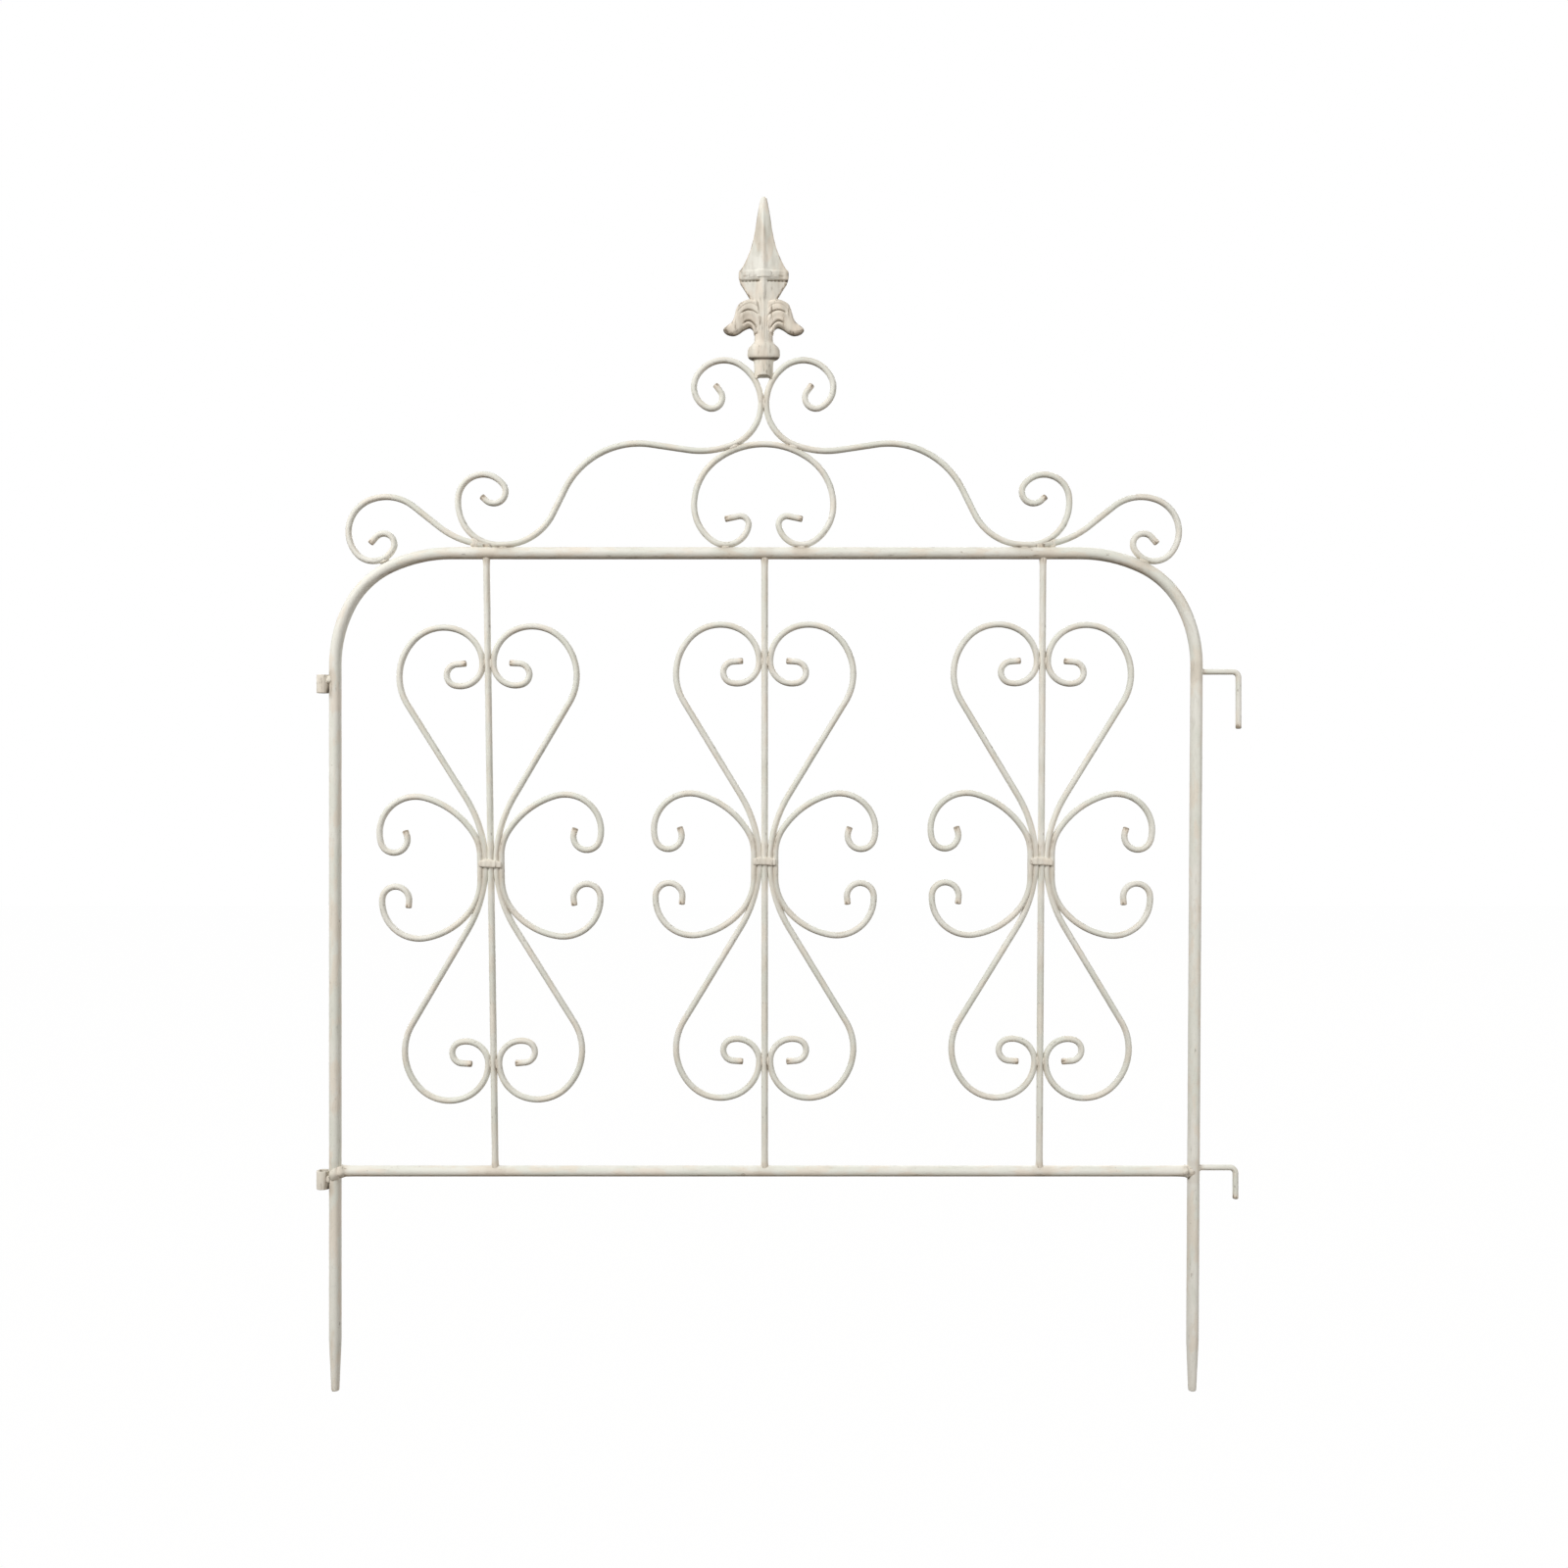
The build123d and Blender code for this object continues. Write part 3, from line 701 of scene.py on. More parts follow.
def make_worn_paint():
    """Puts out the colour, roughness and height of worn cream paint, with painted shade in the colour.
    """
    tree = bpy.data.node_groups.new("worn_cream_paint", "ShaderNodeTree")
    for name in ("Place", "Grain"):
        tree.interface.new_socket(name, in_out="INPUT", socket_type="NodeSocketVector")
    for name in ("Painted_shade", "Rub_and_shade", "Roughcast", "Rose", "Dust"):
        tree.interface.new_socket(name, in_out="INPUT", socket_type="NodeSocketFloat")
    for name, kind in (("Color", "Color"), ("Roughness", "Float"), ("Height", "Float")):
        tree.interface.new_socket(name, in_out="OUTPUT", socket_type="NodeSocket" + kind)
    given = tree.nodes.new("NodeGroupInput").outputs
    result = tree.nodes.new("NodeGroupOutput").inputs
    place, grain = given["Place"], given["Grain"]

    drift = noise(tree, place, 9.0, 2.0)
    patches = noise(tree, stretched(tree, grain, (34, 95, 95)), 1.0, 2.0)
    clouds = noise(tree, stretched(tree, grain, (21, 70, 70)), 1.3, 2.0)
    colour = tint(tree, ease(tree, drift, 0.40, 0.62, 0.15, 0.65), ivory, green_grey)
    colour = tint(tree, ease(tree, clouds, 0.48, 0.68, 0.0, 0.55), colour, green_grey)
    colour = tint(tree, ease(tree, patches, 0.48, 0.64, 0.0, given["Rose"]), colour, rose_beige)
    # the rub value tints towards rose; on tubes it also carries the painted warm shade of undersides
    colour = tint(tree, ease(tree, given["Rub_and_shade"], 0.05, 0.60, 0.0, 0.85), colour, rose_beige)

    streaks = noise(tree, stretched(tree, grain, (60, 300, 300)), 1.0, 4.0, 0.6)
    speckle = noise(tree, place, 420.0, 3.0, 0.55)
    colour = tint(tree, ease(tree, streaks, 0.50, 0.76, 0.0, 0.16), colour, dust_and_shade)
    colour = tint(tree, ease(tree, speckle, 0.56, 0.76, 0.0, 0.10), colour, rubbed_brown)
    colour = tint(tree, ease(tree, clouds, 0.30, 0.70, 0.0, given["Dust"]), colour, dust_and_shade)
    chips = noise(tree, stretched(tree, grain, (95, 210, 210)), 1.0, 2.0)
    colour = tint(tree, ease(tree, chips, 0.69, 0.76, 0.0, 0.45), colour, rubbed_brown)

    worn = calc(tree, "MULTIPLY_ADD", given["Rub_and_shade"], 0.42, streaks)
    worn_mask = ease(tree, worn, 0.70, 0.88, 0.0, 0.75)
    colour = tint(tree, worn_mask, colour, rubbed_brown)
    # painted shade: shaded places are tinted towards the dust colour in patches, and the darkest
    # towards dark brown
    patchy_shade = calc(tree, "MULTIPLY", given["Painted_shade"], ease(tree, patches, 0.25, 0.7, 0.6, 1.0))
    colour = tint(tree, calc(tree, "MULTIPLY", patchy_shade, 0.7), colour, dust_and_shade)
    colour = tint(tree, ease(tree, given["Painted_shade"], 0.60, 1.0, 0.0, 0.85), colour, deep_shade)
    tree.links.new(colour, result["Color"])

    satin = ease(tree, speckle, 0.3, 0.7, 0.48, 0.62)
    tree.links.new(calc(tree, "MULTIPLY_ADD", worn_mask, 0.18, satin), result["Roughness"])

    peel = noise(tree, place, 330.0, 2.0, 0.5)
    pits = noise(tree, place, 240.0, 4.0, 0.55)
    rough_skin = calc(tree, "MULTIPLY", pits, given["Roughcast"])
    height = calc(tree, "MULTIPLY_ADD", rough_skin, 2.2, calc(tree, "MULTIPLY", peel, 0.25))
    height = calc(tree, "MULTIPLY_ADD", worn_mask, -0.5, height)
    tree.links.new(height, result["Height"])
    return tree


worn_paint = make_worn_paint()
print("worn paint has", len(worn_paint.nodes), "nodes")


# %% The three finishes
bump_strength = 0.6
paint_gloss = 0.25


def make_paint(slot, roughcast, rose, dust_share, bump_depth):
    """A painted metal whose colour, roughness and relief come from the worn paint group."""
    paint = bpy.data.materials.new(slot)
    paint.use_nodes = True
    tree = paint.node_tree
    inputs = {"Roughcast": roughcast, "Rose": rose, "Dust": dust_share}
    inputs["Place"] = add_node(tree, "TexCoord").outputs["Object"]
    for mark, output in (("grain", "Vector"), ("painted_shade", "Fac"), ("rub_and_shade", "Fac")):
        stored = add_node(tree, "Attribute", attribute_name=mark)
        inputs[mark.capitalize()] = stored.outputs[output]
    worn = add_node(tree, "Group", inputs, node_tree=worn_paint).outputs
    relief = {"Strength": bump_strength, "Distance": bump_depth * MM, "Height": worn["Height"]}
    shader = tree.nodes["Principled BSDF"].inputs
    put(tree, worn["Color"], shader["Base Color"])
    put(tree, worn["Roughness"], shader["Roughness"])
    put(tree, add_node(tree, "Bump", relief).outputs["Normal"], shader["Normal"])
    shader["Specular IOR Level"].default_value = paint_gloss
    return paint


finishes = {
    "painted_tube": {"roughcast": 0.10, "rose": 0.55, "dust_share": 0.03, "bump_depth": 0.20},
    "painted_wire": {"roughcast": 0.10, "rose": 0.40, "dust_share": 0.10, "bump_depth": 0.16},
    "painted_casting": {"roughcast": 0.55, "rose": 0.60, "dust_share": 0.42, "bump_depth": 0.40},
}
for slot, finish in finishes.items():
    paints[slot] = make_paint(slot, **finish)
print("finishes:", ", ".join(paints))

# %% [markdown]
# ## Sweeping the rods
# A round section is carried along each path. A cut end gets a few more rings that shrink quickly,
# so it has the soft lip that a sheared and painted wire has. The paint is thick: it fills the
# gaps between wires that touch, and adds a little to each rod's radius.

# %% Sweeping the rods
sides = {"painted_wire": 24, "painted_tube": 36}
end_reach = np.array([0.10, 0.24, 0.34, 0.38])
end_share = np.array([0.97, 0.86, 0.62, 0.30])
cut_ends = ("heart", "scroll", "crest", "pin")
bent_wire_coat = 0.4
paint_coat = {"hoop": 0.12, "rail": 0.2, "upright": 0.25, "pin": 0.0}
cut_end_wear, cut_end_reach = 0.85, 4.0
leg_end_wear, leg_end_reach = 0.25, 60.0
crevice_shade, crevice_reach = 0.85, 1.1
weld_wear, weld_wear_reach = 0.35, 1.2
underside_shade, low_side_rust_and_shade = 0.62, 0.32
dent_share = 0.006


def with_cut_ends(rod):
    """Adds shrinking rings past both ends, each a share of the wire's radius further out."""
    middle, heading, radius, along = rod["middle"], rod["heading"], rod["radius"], rod["along"]
    first = np.array([cos(heading[0]), 0, sin(heading[0])])
    last = np.array([cos(heading[-1]), 0, sin(heading[-1])])
    out = end_reach * radius[0]
    before = middle[0] - first * out[::-1, None]
    after = middle[-1] + last * out[:, None]
    n = len(out)
    return {
        "middle": np.concatenate([before, middle, after]),
        "heading": np.concatenate([np.full(n, heading[0]), heading, np.full(n, heading[-1])]),
        "radius": np.concatenate([radius[0] * end_share[::-1], radius, radius[-1] * end_share]),
        "along": np.concatenate([along[0] - out[::-1], along, along[-1] + out]),
        "slot": rod["slot"],
    }


def sweep_rod(name):
    """Each ring is the path's point plus the radius times the cosine of an angle along the normal
    in the panel's plane, and the sine of that angle along Y."""
    rod = rods[name]
    gap, towards = nearest_neighbour(name)
    from_end = np.minimum(rod["along"], rod["along"][-1] - rod["along"])
    end_rub = leg_end_wear * fading(from_end, leg_end_reach)
    if any(word in name for word in cut_ends):
        end_rub = cut_end_wear * fading(from_end, cut_end_reach)
        added = len(end_reach)
        rod = with_cut_ends(rod)
        gap = np.pad(gap, added, mode="edge")
        towards = np.pad(towards, ((added, added), (0, 0)), mode="edge")
        end_rub = np.pad(end_rub, added, mode="edge")
    angle = full_turn(sides[rod["slot"]])
    c, s = np.cos(angle), np.sin(angle)
    heading, along, gap = rod["heading"], rod["along"][:, None], gap[:, None]
    normal = np.stack([-np.sin(heading), 0 * heading, np.cos(heading)], axis=1)
    outward = normal[:, None] * c[None, :, None] + np.array([0, 1, 0]) * s[None, :, None]
    dent = dent_share * (1 + np.sin(along / 9.0 + 2.0 * s[None])) * np.sin(along / 23.0) ** 2
    coat = next((depth for word, depth in paint_coat.items() if word in name), bent_wire_coat)
    radius = (rod["radius"][:, None] + coat) * (1 - dent)
    rings = rod["middle"][:, None] + radius[..., None] * outward
    downward = -outward[..., 2]
    facing = np.clip((outward * towards[:, None]).sum(-1) * 0.75 + 0.25, 0, 1)
    uneven = 0.85 + 0.15 * np.sin(along / 7.0)
    # painted shade: the lowest side of each rod is painted darker
    underside = underside_shade * np.clip((downward - 0.55) / 0.4, 0, 1) * uneven
    # painted shade: the side of each ring that faces a nearby rod, and its underside, are painted
    # darker
    painted_shade = np.maximum(crevice_shade * fading(gap, crevice_reach) * facing, underside)
    near_weld = weld_wear * fading(gap, weld_wear_reach) * (0.4 + 0.6 * facing)
    # painted warm shade, partly rust: the downward side of a tube is tinted warm through the rub value
    rust_and_shade = low_side_rust_and_shade * np.clip(downward, 0, 1) * (rod["slot"] == "painted_tube")
    rub_and_shade = np.clip(end_rub[:, None] + near_weld + rust_and_shade, 0, 1)
    grain = np.stack([along + 0 * radius, radius * c, radius * s], -1) * MM
    return skin(rings), with_poles(painted_shade), with_poles(rub_and_shade), with_poles(grain)


for name in list(rods):
    shape, painted_shade, rub_and_shade, grain = sweep_rod(name)
    add_piece(name + "_fine", shape, rods[name]["slot"], painted_shade, rub_and_shade, [name], grain)
print("rods have", made_faces, "triangles")

# %% [markdown]
# ## Collars
# A collar is a short strap pressed over the bundle in front, with another behind. It isn't quite
# level and shows the wires under it as soft bumps. It is a rounded box section carried across the
# bundle, so its long edges stay soft.

# %% Collars
collar_half = 12.0
collar_tilts = {"left": -4.0, "middle": -1.5, "right": -3.0}
strap_out, strap_half_depth, strap_half_height = 3.5, 1.75, 3.9
wire_bump = 0.22
section_turn = full_turn(32)


def collar_strap(front, tilt):
    """A section with the outline of a superellipse of power 4, carried across from -12 to 12 mm.
    It is lower and thinner towards its ends. Front is -1 for the front strap and 1 for the back."""
    ends = np.array([0.94, 0.975, 0.995, 1])
    across = np.concatenate([-ends[::-1], np.linspace(-0.9, 0.9, 37), ends]) * collar_half
    share = across / collar_half
    close = (1 - np.abs(share) ** 14) ** 0.5
    bumps = wire_bump * np.cos(2 * pi * across / wire_on_wire) * (np.abs(across) < collar_half - 1)
    half_depth = (strap_half_depth + 0.5 * bumps) * np.clip(close, 0.05, 1)
    waves = 0.2 * np.sin(across / 3.1 + tilt)
    half_height = (strap_half_height - 0.8 * share**2 + waves) * np.clip(close, 0.25, 1)
    middle_y = front * (strap_out + 0.5 * bumps - 0.5 * share**4)
    rise = across * tan(radians(tilt)) - 0.9 * share**2
    c, s = np.cos(section_turn), np.sin(section_turn)
    y = middle_y[:, None] + half_depth[:, None] * np.sign(c) * np.sqrt(np.abs(c))
    z = half_height[:, None] * np.sign(s) * np.sqrt(np.abs(s)) + rise[:, None]
    x = np.broadcast_to(across[:, None], y.shape)
    return np.stack([x, y, z], -1)


def bay_place(points, bay):
    """Moves points drawn about a bay's collar to their place on the leaning upright."""
    spot = bays[bay]
    x, z = leant(points[..., 0], points[..., 2] - spot["hang"], spot["lean"])
    return np.stack([x + spot["x"], points[..., 1], z + top_rail_height], -1)


for bay, tilt in collar_tilts.items():
    straps = [bay_place(collar_strap(front, tilt), bay) for front in (-1, 1)]
    # painted shade: the lower side of each strap is painted darker
    low = 0.8 * np.clip(-0.3 - np.sin(section_turn), 0, 1)
    painted_darkness = with_poles(np.broadcast_to(low, straps[0].shape[:2]))
    shape = merged([skin(rings) for rings in straps])
    collar = f"{bay}_bay_collar"
    add_piece(collar + "_fine", shape, "painted_wire", np.tile(painted_darkness, 2), 0.35, [collar])
print("with the collars,", made_faces, "triangles")

# %% [markdown]
# ## Sleeves
# The sleeves on the left leg are short pieces of pipe. The section of the pipe's wall is turned
# about its own axis, and because that section is a closed loop the pipe is open right through.

# %% Sleeves
bore_radius = 4.8
lip = 0.5


def sleeve_rings(top):
    """The wall's outline, a rounded rectangle, turned about the sleeve's axis."""
    turn = np.linspace(0, pi / 2, 5)
    near, far, high = bore_radius + lip, sleeve_radius - lip, sleeve_height - lip
    corners = [(far, high, 0), (near, high, pi / 2), (near, lip, pi), (far, lip, 1.5 * pi)]
    r = np.concatenate([across + lip * np.cos(turn + begin) for across, _, begin in corners])
    z = np.concatenate([up + lip * np.sin(turn + begin) for _, up, begin in corners])
    angle = full_turn(48)
    x = sleeve_x + r[None] * np.cos(angle)[:, None]
    y = r[None] * np.sin(angle)[:, None]
    return np.stack([x, y, np.broadcast_to(top - sleeve_height + z[None], x.shape)], -1), r, angle


sleeve_welds = {"upper": (-4.6, 5.3), "lower": (-6.2, 8.2)}
for level, top in sleeve_tops.items():
    rings, r, angle = sleeve_rings(top)
    shape = skin(rings, loop=True)
    # painted shade: the inside of the pipe, and its side against the leg below the weld, are painted
    # darker
    inside = np.broadcast_to(np.clip((5.6 - r) / 0.8, 0, 1)[None], rings.shape[:2])
    below_weld = np.clip((top - sleeve_welds[level][1] - 3.6 - rings[..., 2]) / 2.0, 0.2, 1)
    by_leg = np.clip(2.2 * np.cos(angle) - 0.8, 0, 1)[:, None] * below_weld
    painted_shade = np.clip(inside * (0.45 + 0.4 * np.cos(angle)[:, None]) + by_leg, 0, 1).ravel()
    add_piece(f"{level}_sleeve_fine", shape, "painted_wire", painted_shade, 0.35, [f"{level}_socket"])
print("with the sleeves,", made_faces, "triangles")

# %% [markdown]
# ## The finial
# The spear is cast in one piece. Its body is a stack of sections: round at the base, knop and
# stem, and a flat diamond with a raised middle rib in the cup and blade. A few stations give the
# height, half width, half depth and roundness, and all rows between them are interpolated.

# %% The finial's stations
finial_base = pair_height + 25.7
body_stations = np.array([
    (-1.0, 9.6, 7.0, 1.0), (14.6, 9.8, 6.8, 1.0), (17.4, 10.2, 6.8, 1.0), (18.4, 12.2, 6.9, 1.0),
    (19.4, 14.6, 7.2, 1.0), (21.0, 16.0, 7.8, 1.0), (23.4, 16.7, 8.0, 1.0), (28.4, 16.4, 8.0, 1.0),
    (31.2, 15.1, 7.8, 1.0), (33.6, 12.8, 7.3, 1.0), (35.6, 10.6, 6.7, 1.0), (37.6, 9.6, 6.4, 0.95),
    (44.0, 9.3, 6.2, 0.95), (60.0, 9.4, 6.2, 0.9), (73.0, 10.2, 6.4, 0.5), (79.0, 12.8, 6.6, 0.0),
    (83.6, 15.6, 6.8, 0.0), (89.6, 19.2, 7.0, 0.0), (96.4, 23.6, 7.2, 0.0), (98.2, 24.4, 7.2, 0.0),
    (101.0, 25.0, 7.4, 0.05), (102.0, 25.5, 7.9, 0.2), (107.4, 25.4, 7.9, 0.2), (108.8, 24.6, 7.4, 0.0),
    (109.6, 23.4, 6.6, 0.0), (113.6, 20.8, 6.7, 0.0), (120.6, 17.4, 6.7, 0.0), (130.6, 13.3, 6.4, 0.0),
    (140.6, 10.6, 5.8, 0.0), (150.6, 8.7, 5.1, 0.05), (160.6, 7.2, 4.4, 0.15), (170.6, 5.7, 3.6, 0.3),
    (178.0, 4.3, 2.8, 0.6), (182.6, 3.4, 2.2, 0.8), (184.6, 2.3, 1.5, 1.0), (185.4, 0.9, 0.6, 1.0),
])
slot_height, slot_half, slot_depth = 98.4, 1.15, 2.4
rib_rise_share = 0.075
dimple_height, knop_foot = 102.6, 18.4
print("finial stands on", round(finial_base, 1))


# %% The finial's body
def finial_body():
    """Front depth over the width: a circle's share, the root of 1 - s squared, mixed with a
    diamond's, an edge plus the rest times 1 - |s|, plus a raised rib. The back mirrors it."""
    heights = body_stations[:, 0]
    z = np.unique(np.concatenate([np.linspace(heights[0], heights[-1], 280), heights]))
    a, b, rounded = (np.interp(z, heights, column)[:, None] for column in body_stations.T[1:])
    s = np.sin(np.linspace(-pi / 2, pi / 2, 53))[None]
    x, above = a * s, z[:, None]
    flat = (1 - rounded) * fade(above, 68, 80)
    rib_half = np.where(above > 101, 0.26 * a, np.clip(0.16 * (above - 73), 0.5, None))
    rib = rib_rise_share * a * np.clip(1 - np.abs(x) / rib_half, 0, 1) * flat
    edge = np.minimum(3.0, 0.5 * b)
    diamond = edge + (b - edge - rib_rise_share * a * flat) * (1 - np.abs(s)) + rib
    circle = b * np.sqrt(np.clip(1 - s**2, 0, 1))
    depth = rounded * circle + (1 - rounded) * diamond
    out = np.abs(x)
    slot = hill(above - slot_height, slot_half, 4) * fade(out, 3.2, 4.0)
    slot = slot * (0.86 + 0.14 * np.sin(1.7 * x + 0.5))
    dimple = hill(above - dimple_height, 0.9) * fade(out, 6, 8) * fade(22 - out, 0, 2)
    dimple = dimple * np.clip(0.6 + 0.6 * np.sin(0.55 * out - 2.2) + 0.2 * np.sin(2.1 * x), 0, 1)
    spread = out / (1 + 0.35 * fade(above, 52, 74))
    ridges = sum(hill(spread - at, 0.5) for at in (1.5, 3.9, 6.2))
    ridges = ridges * fade(above, 36, 41) * fade(-above, -76, -66)
    depth = depth - slot_depth * slot - 0.8 * dimple - 0.35 * ridges
    depth = np.maximum(depth, 0.55 * edge * (1 - rounded))
    mouth = 3.2 * np.sqrt(np.clip(1 - (x[:1] / 6.8) ** 4, 0, 1))
    height = above + fade(-above, -14, 1) * mouth
    front = np.stack([x + 0 * above, -depth, height + 0 * x], -1)
    back = np.stack([x + 0 * above, depth, height + 0 * x], -1)[:, ::-1]
    # painted shade: under the knop, in the slot and dimples, along the flutes, and along the right-hand
    # edges, where it is broken up like chips
    under_knop = 1.2 * hill(above - knop_foot - 0.006 * x**2, 1.6)
    chipped = np.clip(0.5 + 0.5 * np.sin(above / 3.1) + 0.4 * np.sin(above / 1.3 + 2), 0.15, 1)
    right_edge = 0.85 * fade(s, 0.88, 0.98) * fade(above, 76, 82) * chipped
    shade = np.clip(slot + 0.75 * dimple + under_knop + right_edge + 0.2 * ridges, 0, 1)
    worn_edge = 0.5 * fade(np.abs(s), 0.90, 0.99) * fade(above, 76, 82)
    worn_edge = worn_edge + 0.30 - 0.20 * fade(above, 78, 120)
    both = [np.concatenate([half, half[:, ::-1]], axis=1) for half in (shade, worn_edge)]
    return np.concatenate([front, back], axis=1), *both


body_rings, body_shade, body_rub = finial_body()
body_rings = body_rings + (crest_middle, 0, finial_base)
columns = body_rings.shape[1]
body_ids = np.arange(body_rings[..., 0].size).reshape(-1, columns)
print("finial body has", body_rings.shape[0], "rows of", columns)


def finial_skin():
    """The stacked rows, closed at the foot and at the tip by strips from front to back, so that
    the arch over the wires runs through."""
    quads = bands(body_ids[:-1], body_ids[1:])
    low, high = body_ids[0], body_ids[-1]
    i = np.arange(columns // 2 - 1)
    under = np.stack([low[i], low[columns - 1 - i], low[columns - 2 - i], low[i + 1]], 1)
    over = np.stack([high[i], high[i + 1], high[columns - 2 - i], high[columns - 1 - i]], 1)
    return body_rings.reshape(-1, 3), np.concatenate([quads, under, over]), np.empty((0, 3), int)


# %% [markdown]
# ## The drooping leaves
# Each leaf is a surface between two curves, its upper and lower outline, that both run from the
# stem to the tip and meet there in a round nose. Its rim is rounded, its middle is domed, and
# arched grooves are pressed into it, each along a parabola.

# %% The leaves
leaf_over = np.array([(4.0, 80.0), (12.0, 80.8), (19.3, 79.2), (25.0, 75.8), (28.2, 70.2), (29.9, 63.2),
                      (32.6, 57.4), (37.0, 53.8), (40.2, 51.2), (41.2, 49.0)])
leaf_under = np.array([(4.0, 43.0), (9.3, 43.2), (10.7, 48.2), (14.2, 50.8), (19.6, 48.8), (25.2, 45.0),
                       (30.6, 43.0), (36.4, 44.0), (39.9, 46.4), (41.2, 48.6)])
leaf_rim = 4.6
leaf_grooves = [
    {"crown": (15.0, 68.4), "droop": 0.050, "ends": (3.8, 24.0), "half": 0.75, "depth": 1.6},
    {"crown": (15.5, 57.4), "droop": 0.095, "ends": (5.8, 21.8), "half": 0.90, "depth": 2.0},
    {"crown": (14.0, 75.2), "droop": 0.055, "ends": (4.0, 28.0), "half": 0.65, "depth": 0.45},
]


def smooth_curve(points, count):
    """A Catmull-Rom curve: between two points it is the cubic whose slopes at the ends are half
    the step between their neighbours."""
    padded = np.concatenate([2 * points[:1] - points[1:2], points, 2 * points[-1:] - points[-2:-1]])
    t = np.linspace(0, len(points) - 1.000001, count)
    i = t.astype(int)
    u = (t - i)[:, None]
    p0, p1, p2, p3 = (padded[i + k] for k in range(4))
    bend, twist = 2 * p0 - 5 * p1 + 4 * p2 - p3, 3 * p1 - p0 - 3 * p2 + p3
    return 0.5 * (2 * p1 + (p2 - p0) * u + bend * u**2 + twist * u**3)


def leaf_relief(x, z):
    """How deep the grooves are at a point, and how much painted shade they get. The distance from a
    parabola is about the height above it over the root of 1 plus its slope squared."""
    cut, painted_darkness = 0 * x, 0 * x
    for groove in leaf_grooves:
        middle_x, top = groove["crown"]
        slope = 2 * groove["droop"] * (x - middle_x)
        off = (z - top + groove["droop"] * (x - middle_x) ** 2) / np.sqrt(1 + slope**2)
        first, last = groove["ends"]
        along = fade(x, first, first + 2) * fade(-x, -last, 2.5 - last)
        middle = 0.7 + 0.3 * hill(x - middle_x, 4.5)
        pressed = hill(off, groove["half"] * middle) * along
        swell = hill(off + 3.2, 2.2) * along
        cut = cut + groove["depth"] * (pressed - 0.35 * swell)
        # painted shade: each pressed groove is painted darker
        painted_darkness = painted_darkness + min(1.0, groove["depth"]) * pressed
    return cut, np.clip(painted_darkness, 0, 1)


def leaf_rings(mirror):
    """Rings that go across the front from the lower outline to the upper and return behind."""
    rows = 120
    over, under = smooth_curve(leaf_over, rows), smooth_curve(leaf_under, rows)
    u = np.linspace(0, 1, 81)
    v = (0.6 * u + 0.4 * (0.5 - 0.5 * np.cos(pi * u)))[None]
    outline = under[:, None] * (1 - v[..., None]) + over[:, None] * v[..., None]
    x, z = outline[..., 0], outline[..., 1]
    width = np.linalg.norm(over - under, axis=1)[:, None]
    from_edge = np.minimum(v, 1 - v) * width
    rim = np.sqrt(1 - (1 - np.clip(from_edge / leaf_rim, 0, 1)) ** 2)
    cut, painted_darkness = leaf_relief(x, z)
    depth = (4.9 + 0.9 * np.sin(pi * v)) * rim - cut * fade(from_edge, 0.3, 2.0)
    depth = np.maximum(depth, 0.1 * rim)
    front = np.stack([x, -depth, z], -1)
    back = np.stack([x, depth, z], -1)[:, -2:0:-1]
    # painted shade: the lower rim and the right-hand rim of a leaf are painted darker
    under_edge = 0.85 * fade(-from_edge, -1.7, -0.5) * (v < 0.5) * fade(x, 9, 12)
    right_edge = (0.55 + 0.2 * mirror) * fade(-from_edge, -1.6, -0.4) * (v > 0.5) * fade(x, 16, 24)
    painted_darkness = np.maximum(painted_darkness, np.maximum(under_edge, right_edge))
    rub_and_shade = 0.38 + 0.25 * fade(x, 24, 38) + 0 * v
    marks = [np.concatenate([mark, mark[:, -2:0:-1]], axis=1) for mark in (painted_darkness, rub_and_shade)]
    rings = np.concatenate([front, back], axis=1) * (mirror, 1, 1)
    return rings + (crest_middle, 0, finial_base), *marks


# %% The finial as one piece
parts, painted_darkness, wear = [finial_skin()], [body_shade.ravel()], [body_rub.ravel()]
for mirror in (-1, 1):
    rings, leaf_shade, leaf_wear = leaf_rings(mirror)
    parts.append(skin(rings))
    painted_darkness.append(with_poles(leaf_shade))
    wear.append(with_poles(leaf_wear))
painted_darkness, wear = np.concatenate(painted_darkness), np.concatenate(wear)
add_piece("finial_fine", merged(parts), "painted_casting", painted_darkness, wear, ["finial"])
print("with the finial,", made_faces, "triangles")

# %% [markdown]
# ## Weld beads
# The wires are tacked together with short beads of weld metal, lumpy and a little browner where
# the paint is thin. A bead is an egg whose radius is disturbed by a few sine waves.

# %% Weld beads
bead_down = np.linspace(0.06, pi - 0.06, 13)[:, None]
bead_turn = full_turn(18)[None]


def bead(centre, reach, lean, seed):
    """An egg with half lengths reach = (across, deep, long), its long side leant from upright,
    and its radius multiplied by 1 plus a few small waves."""
    lumps = 0.07 * np.sin(3 * bead_turn + seed) * np.sin(bead_down)
    lumps = 1 + lumps + 0.05 * np.sin(5 * bead_down + 2 * seed + bead_turn)
    x = reach[0] * np.sin(bead_down) * np.cos(bead_turn) * lumps
    y = reach[1] * np.sin(bead_down) * np.sin(bead_turn) * lumps
    z = reach[2] * np.cos(bead_down) * lumps
    x, z = leant(x, z, -lean)
    return np.stack([x, y, z], -1) + np.asarray(centre, float)


beads = []


def tack(x, z, size, lean, depth):
    """A bead in front of a joint and one behind it."""
    for front in (-1, 1):
        seed = len(beads) * 1.37
        grown = 1 + 0.15 * sin(seed)
        beads.append(bead((x, front * depth, z), [grown * value for value in size], lean, seed))


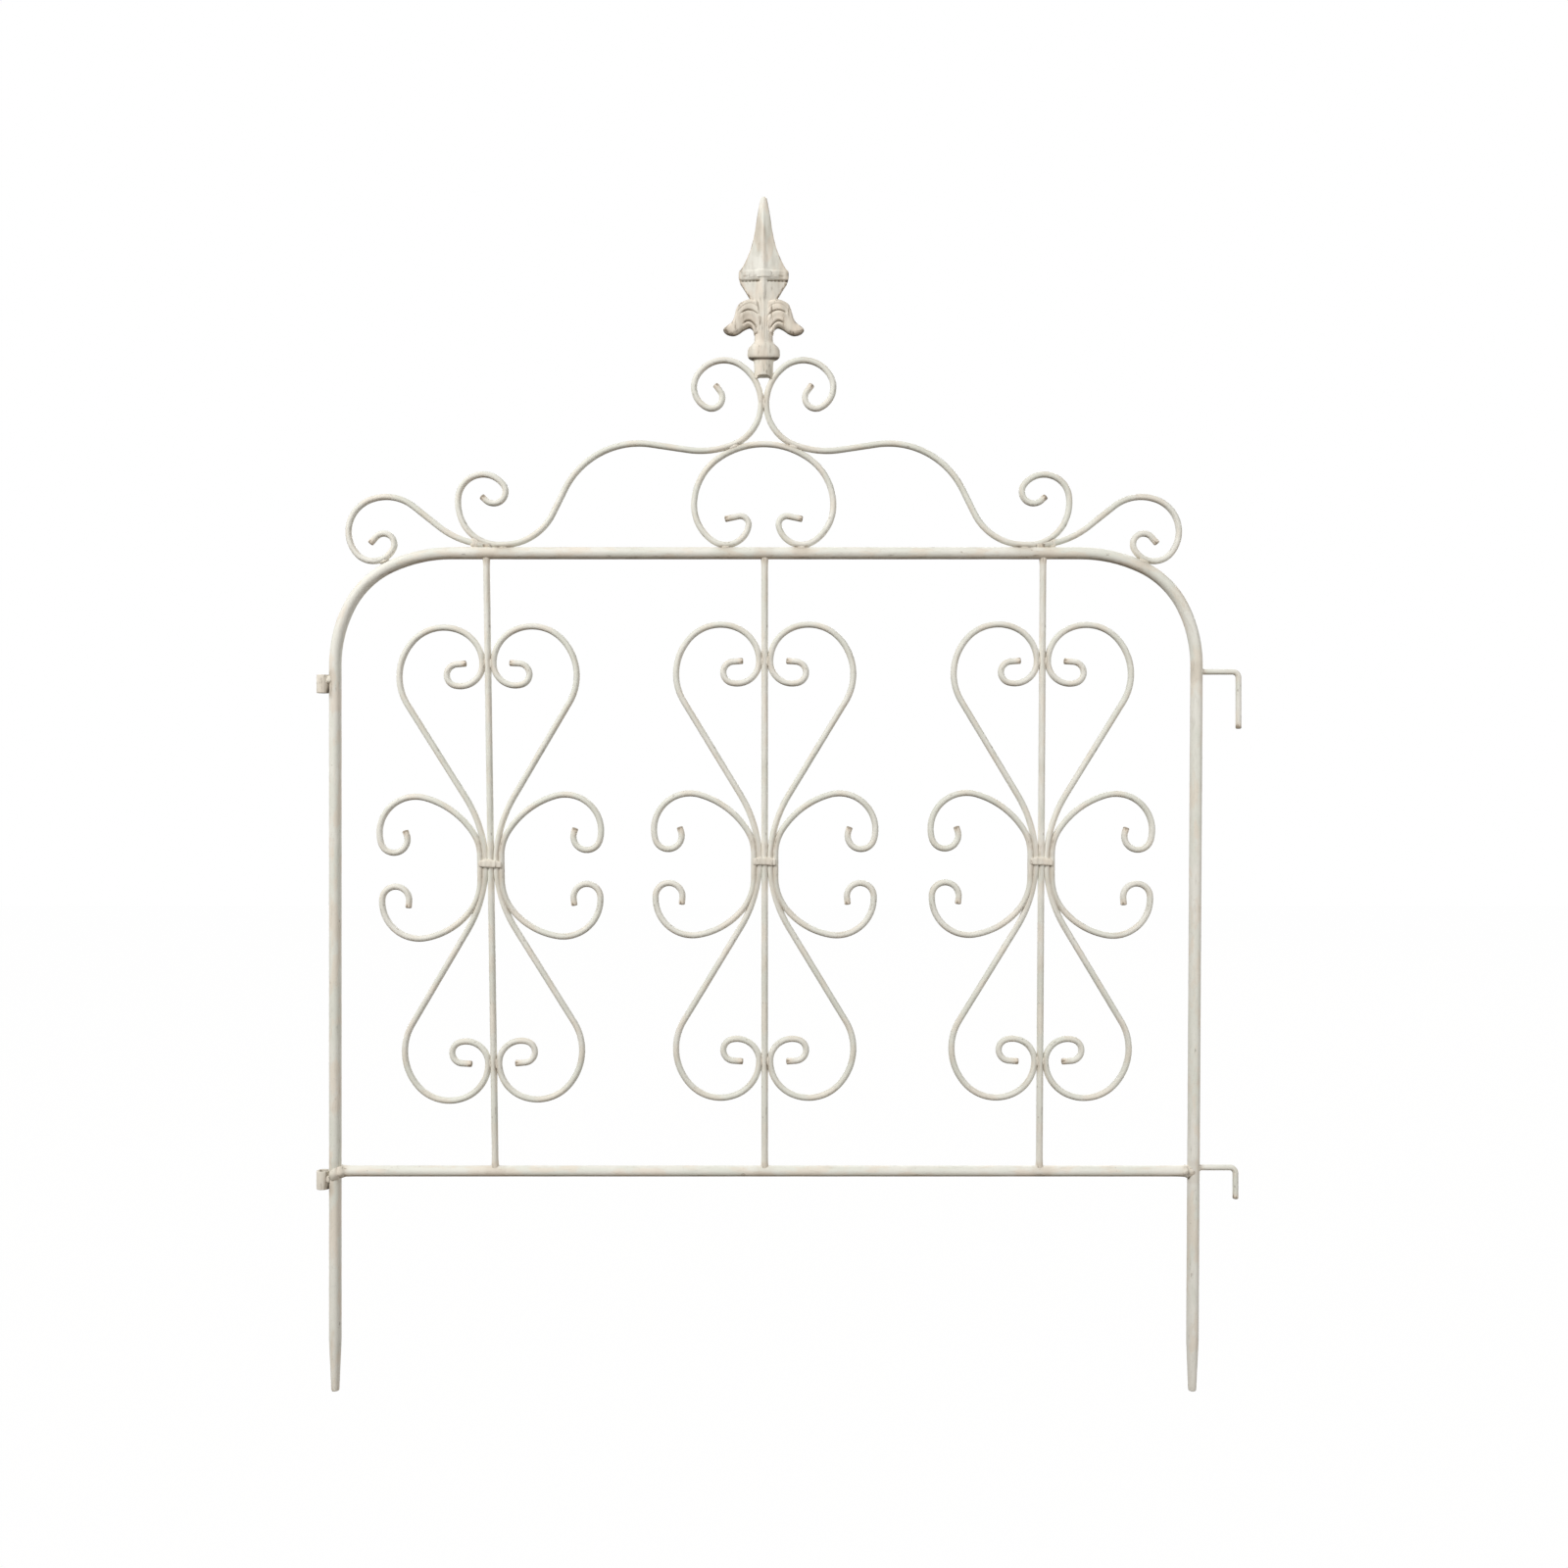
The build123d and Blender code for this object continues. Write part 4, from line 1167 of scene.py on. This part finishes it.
rail_top = top_rail_height + tube_radius
joint_reach = crown_radius + wire_on_wire / 2
joint_x = joint_reach * sin(radians(weld_angle))
joint_z = crown_centre + joint_reach * cos(radians(weld_angle))
scroll_joint_x = crest_rest[0] + 28.5
rest_x = scroll_rest[0] - (wire_radius - 0.2) * sin(radians(shoulder_slope))
rest_z = scroll_rest[1] - (wire_radius - 0.2) * cos(radians(shoulder_slope))
for bay in bays:
    for height in (heart_touch_height, -heart_touch_height):
        for way in (-1, 1):
            spot = bay_place(np.array([way * upright_radius, 0.0, height]), bay)
            tack(spot[0], spot[2], (1.2, 1.0, 4.5), -bays[bay]["lean"], 1.9)
for way in (-1, 1):
    tack(crest_middle + way * joint_x, joint_z, (1.9, 1.5, 4.2), 90 + way * weld_angle, 1.7)
    tack(crest_middle + way * horseshoe_rest[0], rail_top - 0.2, (4.5, 1.8, 1.5), 0, 1.6)
    tack(crest_middle + way * crest_rest[0], rail_top - 0.4, (4.0, 1.2, 1.0), 0, 1.4)
    tack(crest_middle + way * scroll_joint_x, rest_height + 1.6, (4.8, 2.4, 5.6), 0, 1.2)
    tack(crest_middle + way * rest_x, rest_z, (4.5, 1.6, 1.5), way * shoulder_slope, 1.6)
tack(crest_middle, pair_height, (1.1, 1.1, 6.0), 0, 1.9)
for level, top in sleeve_tops.items():
    weld_at, drop = sleeve_welds[level]
    tack(weld_at, top - drop, (4.4, 3.4, 4.6), 0, 2.4)
    arm_x = right_leg_x(arm_heights[level]) + tube_radius - 0.3
    tack(arm_x, arm_heights[level], (1.4, 2.6, 3.4), 0, 1.2)
beads.append(bead((0.8, -3.9, bottom_rail_height - 2.2), (6.3, 4.4, 7.4), 20, 1.0))
for x, size in ((tube_radius + 0.4, 1.0), (right_leg_x(bottom_rail_height) - tube_radius - 1.2, 0.92)):
    beads.append(bead((x, -2.8, bottom_rail_height), (6.4 * size, 4.8 * size, 6.2 * size), 0, x))
    beads.append(bead((x, 2.6, bottom_rail_height), (4.4, 3.0, 5.6), 0, x + 1))

# painted shade: each bead is painted darker towards its two ends, where it meets the wire
shade_at_ends = 0.1 + 0.6 * np.abs(np.cos(bead_down)) ** 4
painted_darkness = np.tile(with_poles(np.broadcast_to(shade_at_ends, beads[0].shape[:2])), len(beads))
add_piece("weld_beads", merged([skin(rings) for rings in beads]), "painted_wire", painted_darkness, 0.34)
print(len(beads), "beads, and", made_faces, "triangles in all")
